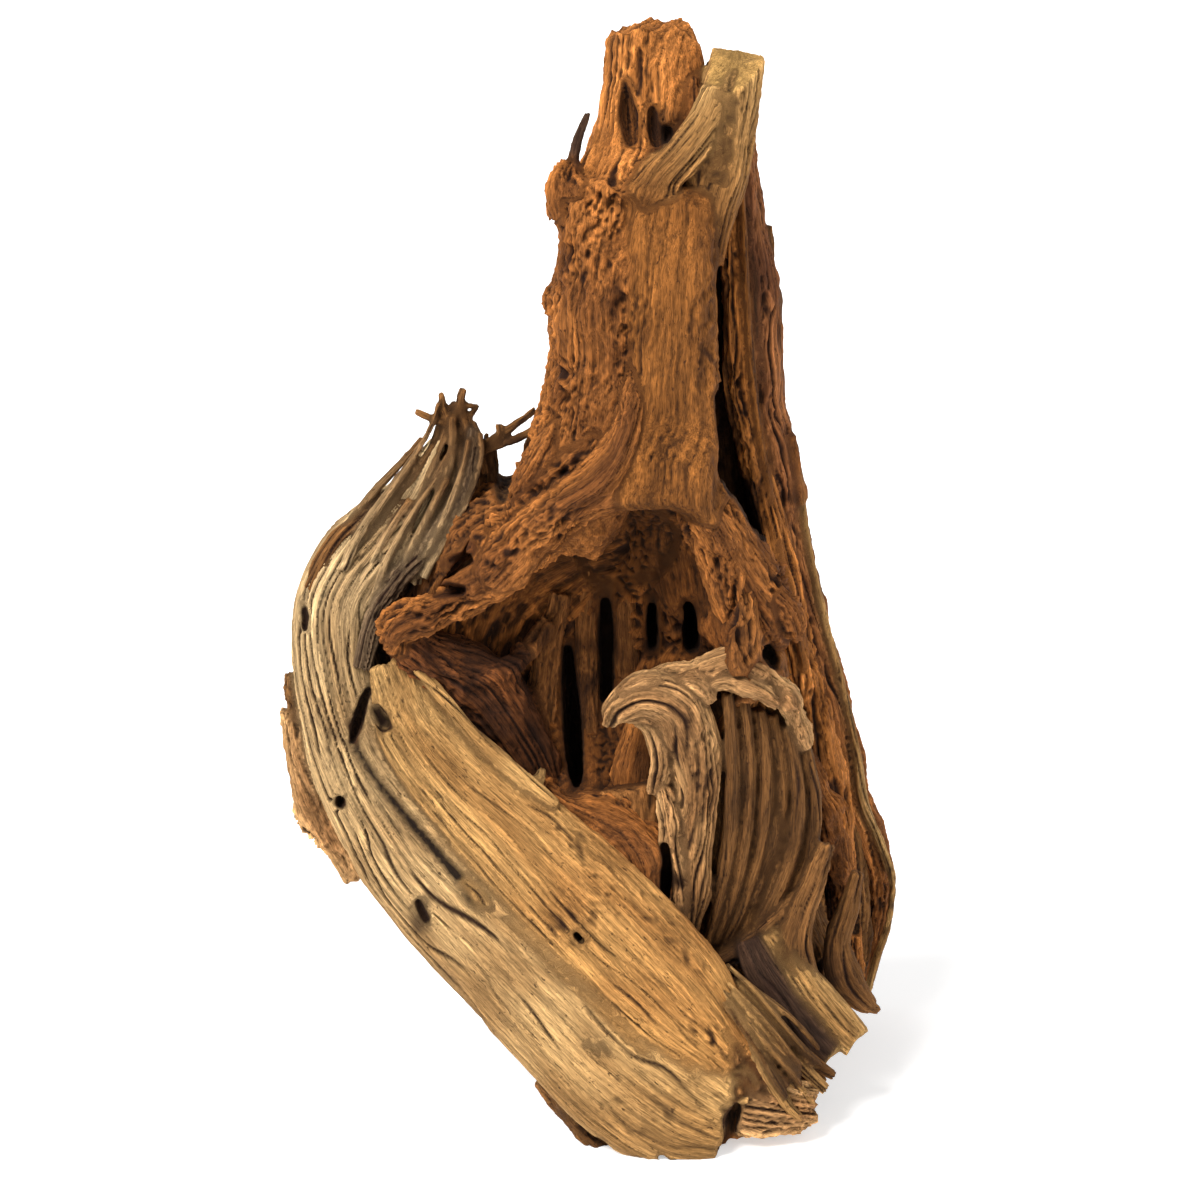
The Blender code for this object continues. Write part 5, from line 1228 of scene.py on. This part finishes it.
def weathered_wood():
    """Streaked wood: painted highlight on its ridges, painted shade in its creases and hollows, cracks partly
    painted shade.
    """
    material = bpy.data.materials.new("weathered_wood")
    material.use_nodes = True
    shader = material.node_tree.nodes["Principled BSDF"]
    nodes = Nodes(material.node_tree)
    grain = nodes.attribute("grain_place", "Vector")
    fine = nodes.streaks(grain, 0.00045, 0.011, detail=5.0, roughness=0.7)
    medium = nodes.streaks(grain, 0.0017, 0.030, detail=3.0)
    broad = nodes.streaks(grain, 0.0050, 0.060, detail=3.0)
    specks = nodes.streaks(grain, 0.0013, 0.0028, detail=2.0)
    lines = nodes.seams(nodes.streaks(grain, 0.0022, 0.045, detail=2.0), 0.012)
    colour = nodes.attribute("tone", "Color")
    colour = nodes.times(colour, nodes.spread(fine, 0.33, 0.67, 0.44, 1.48))
    colour = nodes.times(colour, nodes.spread(medium, 0.30, 0.70, 0.64, 1.32))
    colour = nodes.times(colour, nodes.spread(broad, 0.32, 0.68, 0.78, 1.18))
    # Painted shade in the creases and painted highlight on the crests.
    crease_shade_and_highlight = nodes.attribute("crease_shade_and_highlight", "Fac")
    colour = nodes.times(colour, nodes.spread(crease_shade_and_highlight, 0.20, 0.80, 1.50, 0.26))
    dark = (*linear(DARK_WOOD_AND_SHADE), 1.0)
    colour = nodes.mixed(nodes.spread(specks, 0.64, 0.72, 0.0, 0.75), colour, dark)
    colour = nodes.mixed(nodes.product(lines, nodes.spread(broad, 0.42, 0.58, 0.0, 0.8)), colour, dark)
    # Cracks and pits darkened by their depth: partly their own dark, partly painted shade.
    colour = nodes.mixed(nodes.spread(nodes.attribute("crack", "Fac"), 0.10, 0.85, 0.0, 0.92), colour, dark)
    # Painted shade where little of the sky reaches.
    openness = nodes.attribute("openness", "Fac")
    colour = nodes.mixed(nodes.spread(openness, 0.05, 0.50, 0.80, 0.0), colour, dark)
    nodes.tree.links.new(colour, shader.inputs["Base Color"])
    nodes.tree.links.new(nodes.spread(fine, 0.3, 0.7, 0.92, 0.72), shader.inputs["Roughness"])
    shader.inputs["Specular IOR Level"].default_value = 0.15
    heights = {0: fine, 1: nodes.product(specks, -0.5)}
    grit = nodes.add("ShaderNodeMath", operation="ADD", inputs=heights).outputs[0]
    bump = nodes.add("ShaderNodeBump", inputs={"Strength": 1.0, "Distance": 0.0011, "Height": grit})
    nodes.tree.links.new(bump.outputs[0], shader.inputs["Normal"])
    return material


def floor_material():
    material = bpy.data.materials.new("pale_floor")
    material.use_nodes = True
    shader = material.node_tree.nodes["Principled BSDF"]
    shader.inputs["Base Color"].default_value = FLOOR_COLOUR
    shader.inputs["Emission Color"].default_value = (1, 1, 1, 1)
    shader.inputs["Emission Strength"].default_value = FLOOR_GLOW
    shader.inputs["Roughness"].default_value = 0.9
    shader.inputs["Specular IOR Level"].default_value = 0.1
    return material


def build_studio():
    """A camera at the viewing angle, a pale floor and plain soft light from the upper front left."""
    scene = bpy.context.scene
    target = Vector((*ORIGIN_SHIFT, VIEW_HEIGHT))
    back = Vector((0, -math.cos(VIEW_TILT), math.sin(VIEW_TILT)))
    data = bpy.data.cameras.new("camera")
    data.sensor_width = SENSOR
    data.lens = SENSOR * VIEW_DISTANCE / VIEW_WIDTH
    camera = bpy.data.objects.new("camera", data)
    camera.location = target + back * VIEW_DISTANCE
    camera.rotation_euler = (-back).to_track_quat("-Z", "Y").to_euler()
    scene.collection.objects.link(camera)
    scene.camera = camera
    size = FLOOR_SIZE
    corners = [(-size, -size, 0), (size, -size, 0), (size, size, 0), (-size, size, 0)]
    mesh = bpy.data.meshes.new("floor")
    mesh.from_pydata(corners, [], [(0, 1, 2, 3)])
    floor = bpy.data.objects.new("floor", mesh)
    scene.collection.objects.link(floor)
    mesh.materials.append(floor_material())
    for name, energy, softness, tilt, turn in SUNS:
        light = bpy.data.lights.new(name, "SUN")
        light.energy = energy
        light.angle = math.radians(softness)
        light.color = SUN_COLOUR
        sun = bpy.data.objects.new(name, light)
        sun.rotation_euler = (math.radians(tilt), 0, math.radians(turn))
        scene.collection.objects.link(sun)
    world = bpy.data.worlds.new("studio")
    world.use_nodes = True
    world.node_tree.nodes["Background"].inputs["Color"].default_value = (1, 1, 1, 1)
    world.node_tree.nodes["Background"].inputs["Strength"].default_value = SKY_LIGHT
    scene.world = world
    scene.view_settings.view_transform = "Standard"


def build_wood():
    material = weathered_wood()
    sky = openness_of(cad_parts["driftwood"])
    hollow_limbs = [Limb(name, limb) for name, limb in HOLLOW.items()]
    hollow = loft_object("hollow", hollow_limbs)
    fuse(hollow, CUTTER_CELL)
    opening_limbs = [Limb(name, limb) for name, limb in OPENINGS.items()]
    openings = loft_object("openings", opening_limbs)
    fuse(openings, CUTTER_CELL)
    bpy.ops.mesh.primitive_cube_add(size=1, location=(0, 0, -0.5))
    ground = bpy.context.object
    for name, (table, cell, colour, passes, triangles) in PIECES.items():
        limbs = [Limb(limb_name, limb) for limb_name, limb in table.items()]
        for fan_name, fan in FANS.get(name, {}).items():
            limbs += strands(fan_name, fan)
        loose = [splinter for limb in limbs for splinter in splinters(limb)]
        piece = loft_object(name, limbs + loose)
        fuse(piece, cell)
        if table is TRUNK_BEHIND:
            cut(piece, hollow)
        cut(piece, openings)
        cut(piece, ground)
        fuse(piece, cell)
        drop_scraps(piece)
        behind = hollow_limbs if table is TRUNK_BEHIND else []
        carve(piece, limbs, behind + opening_limbs, sky, colour, passes)
        lighten(piece, triangles)
        piece.data.materials.clear()
        piece.data.materials.append(material)
        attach(piece, "root")
        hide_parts("driftwood")
    for helper in (hollow, openings, ground):
        bpy.data.objects.remove(helper)


build_studio()
build_wood()
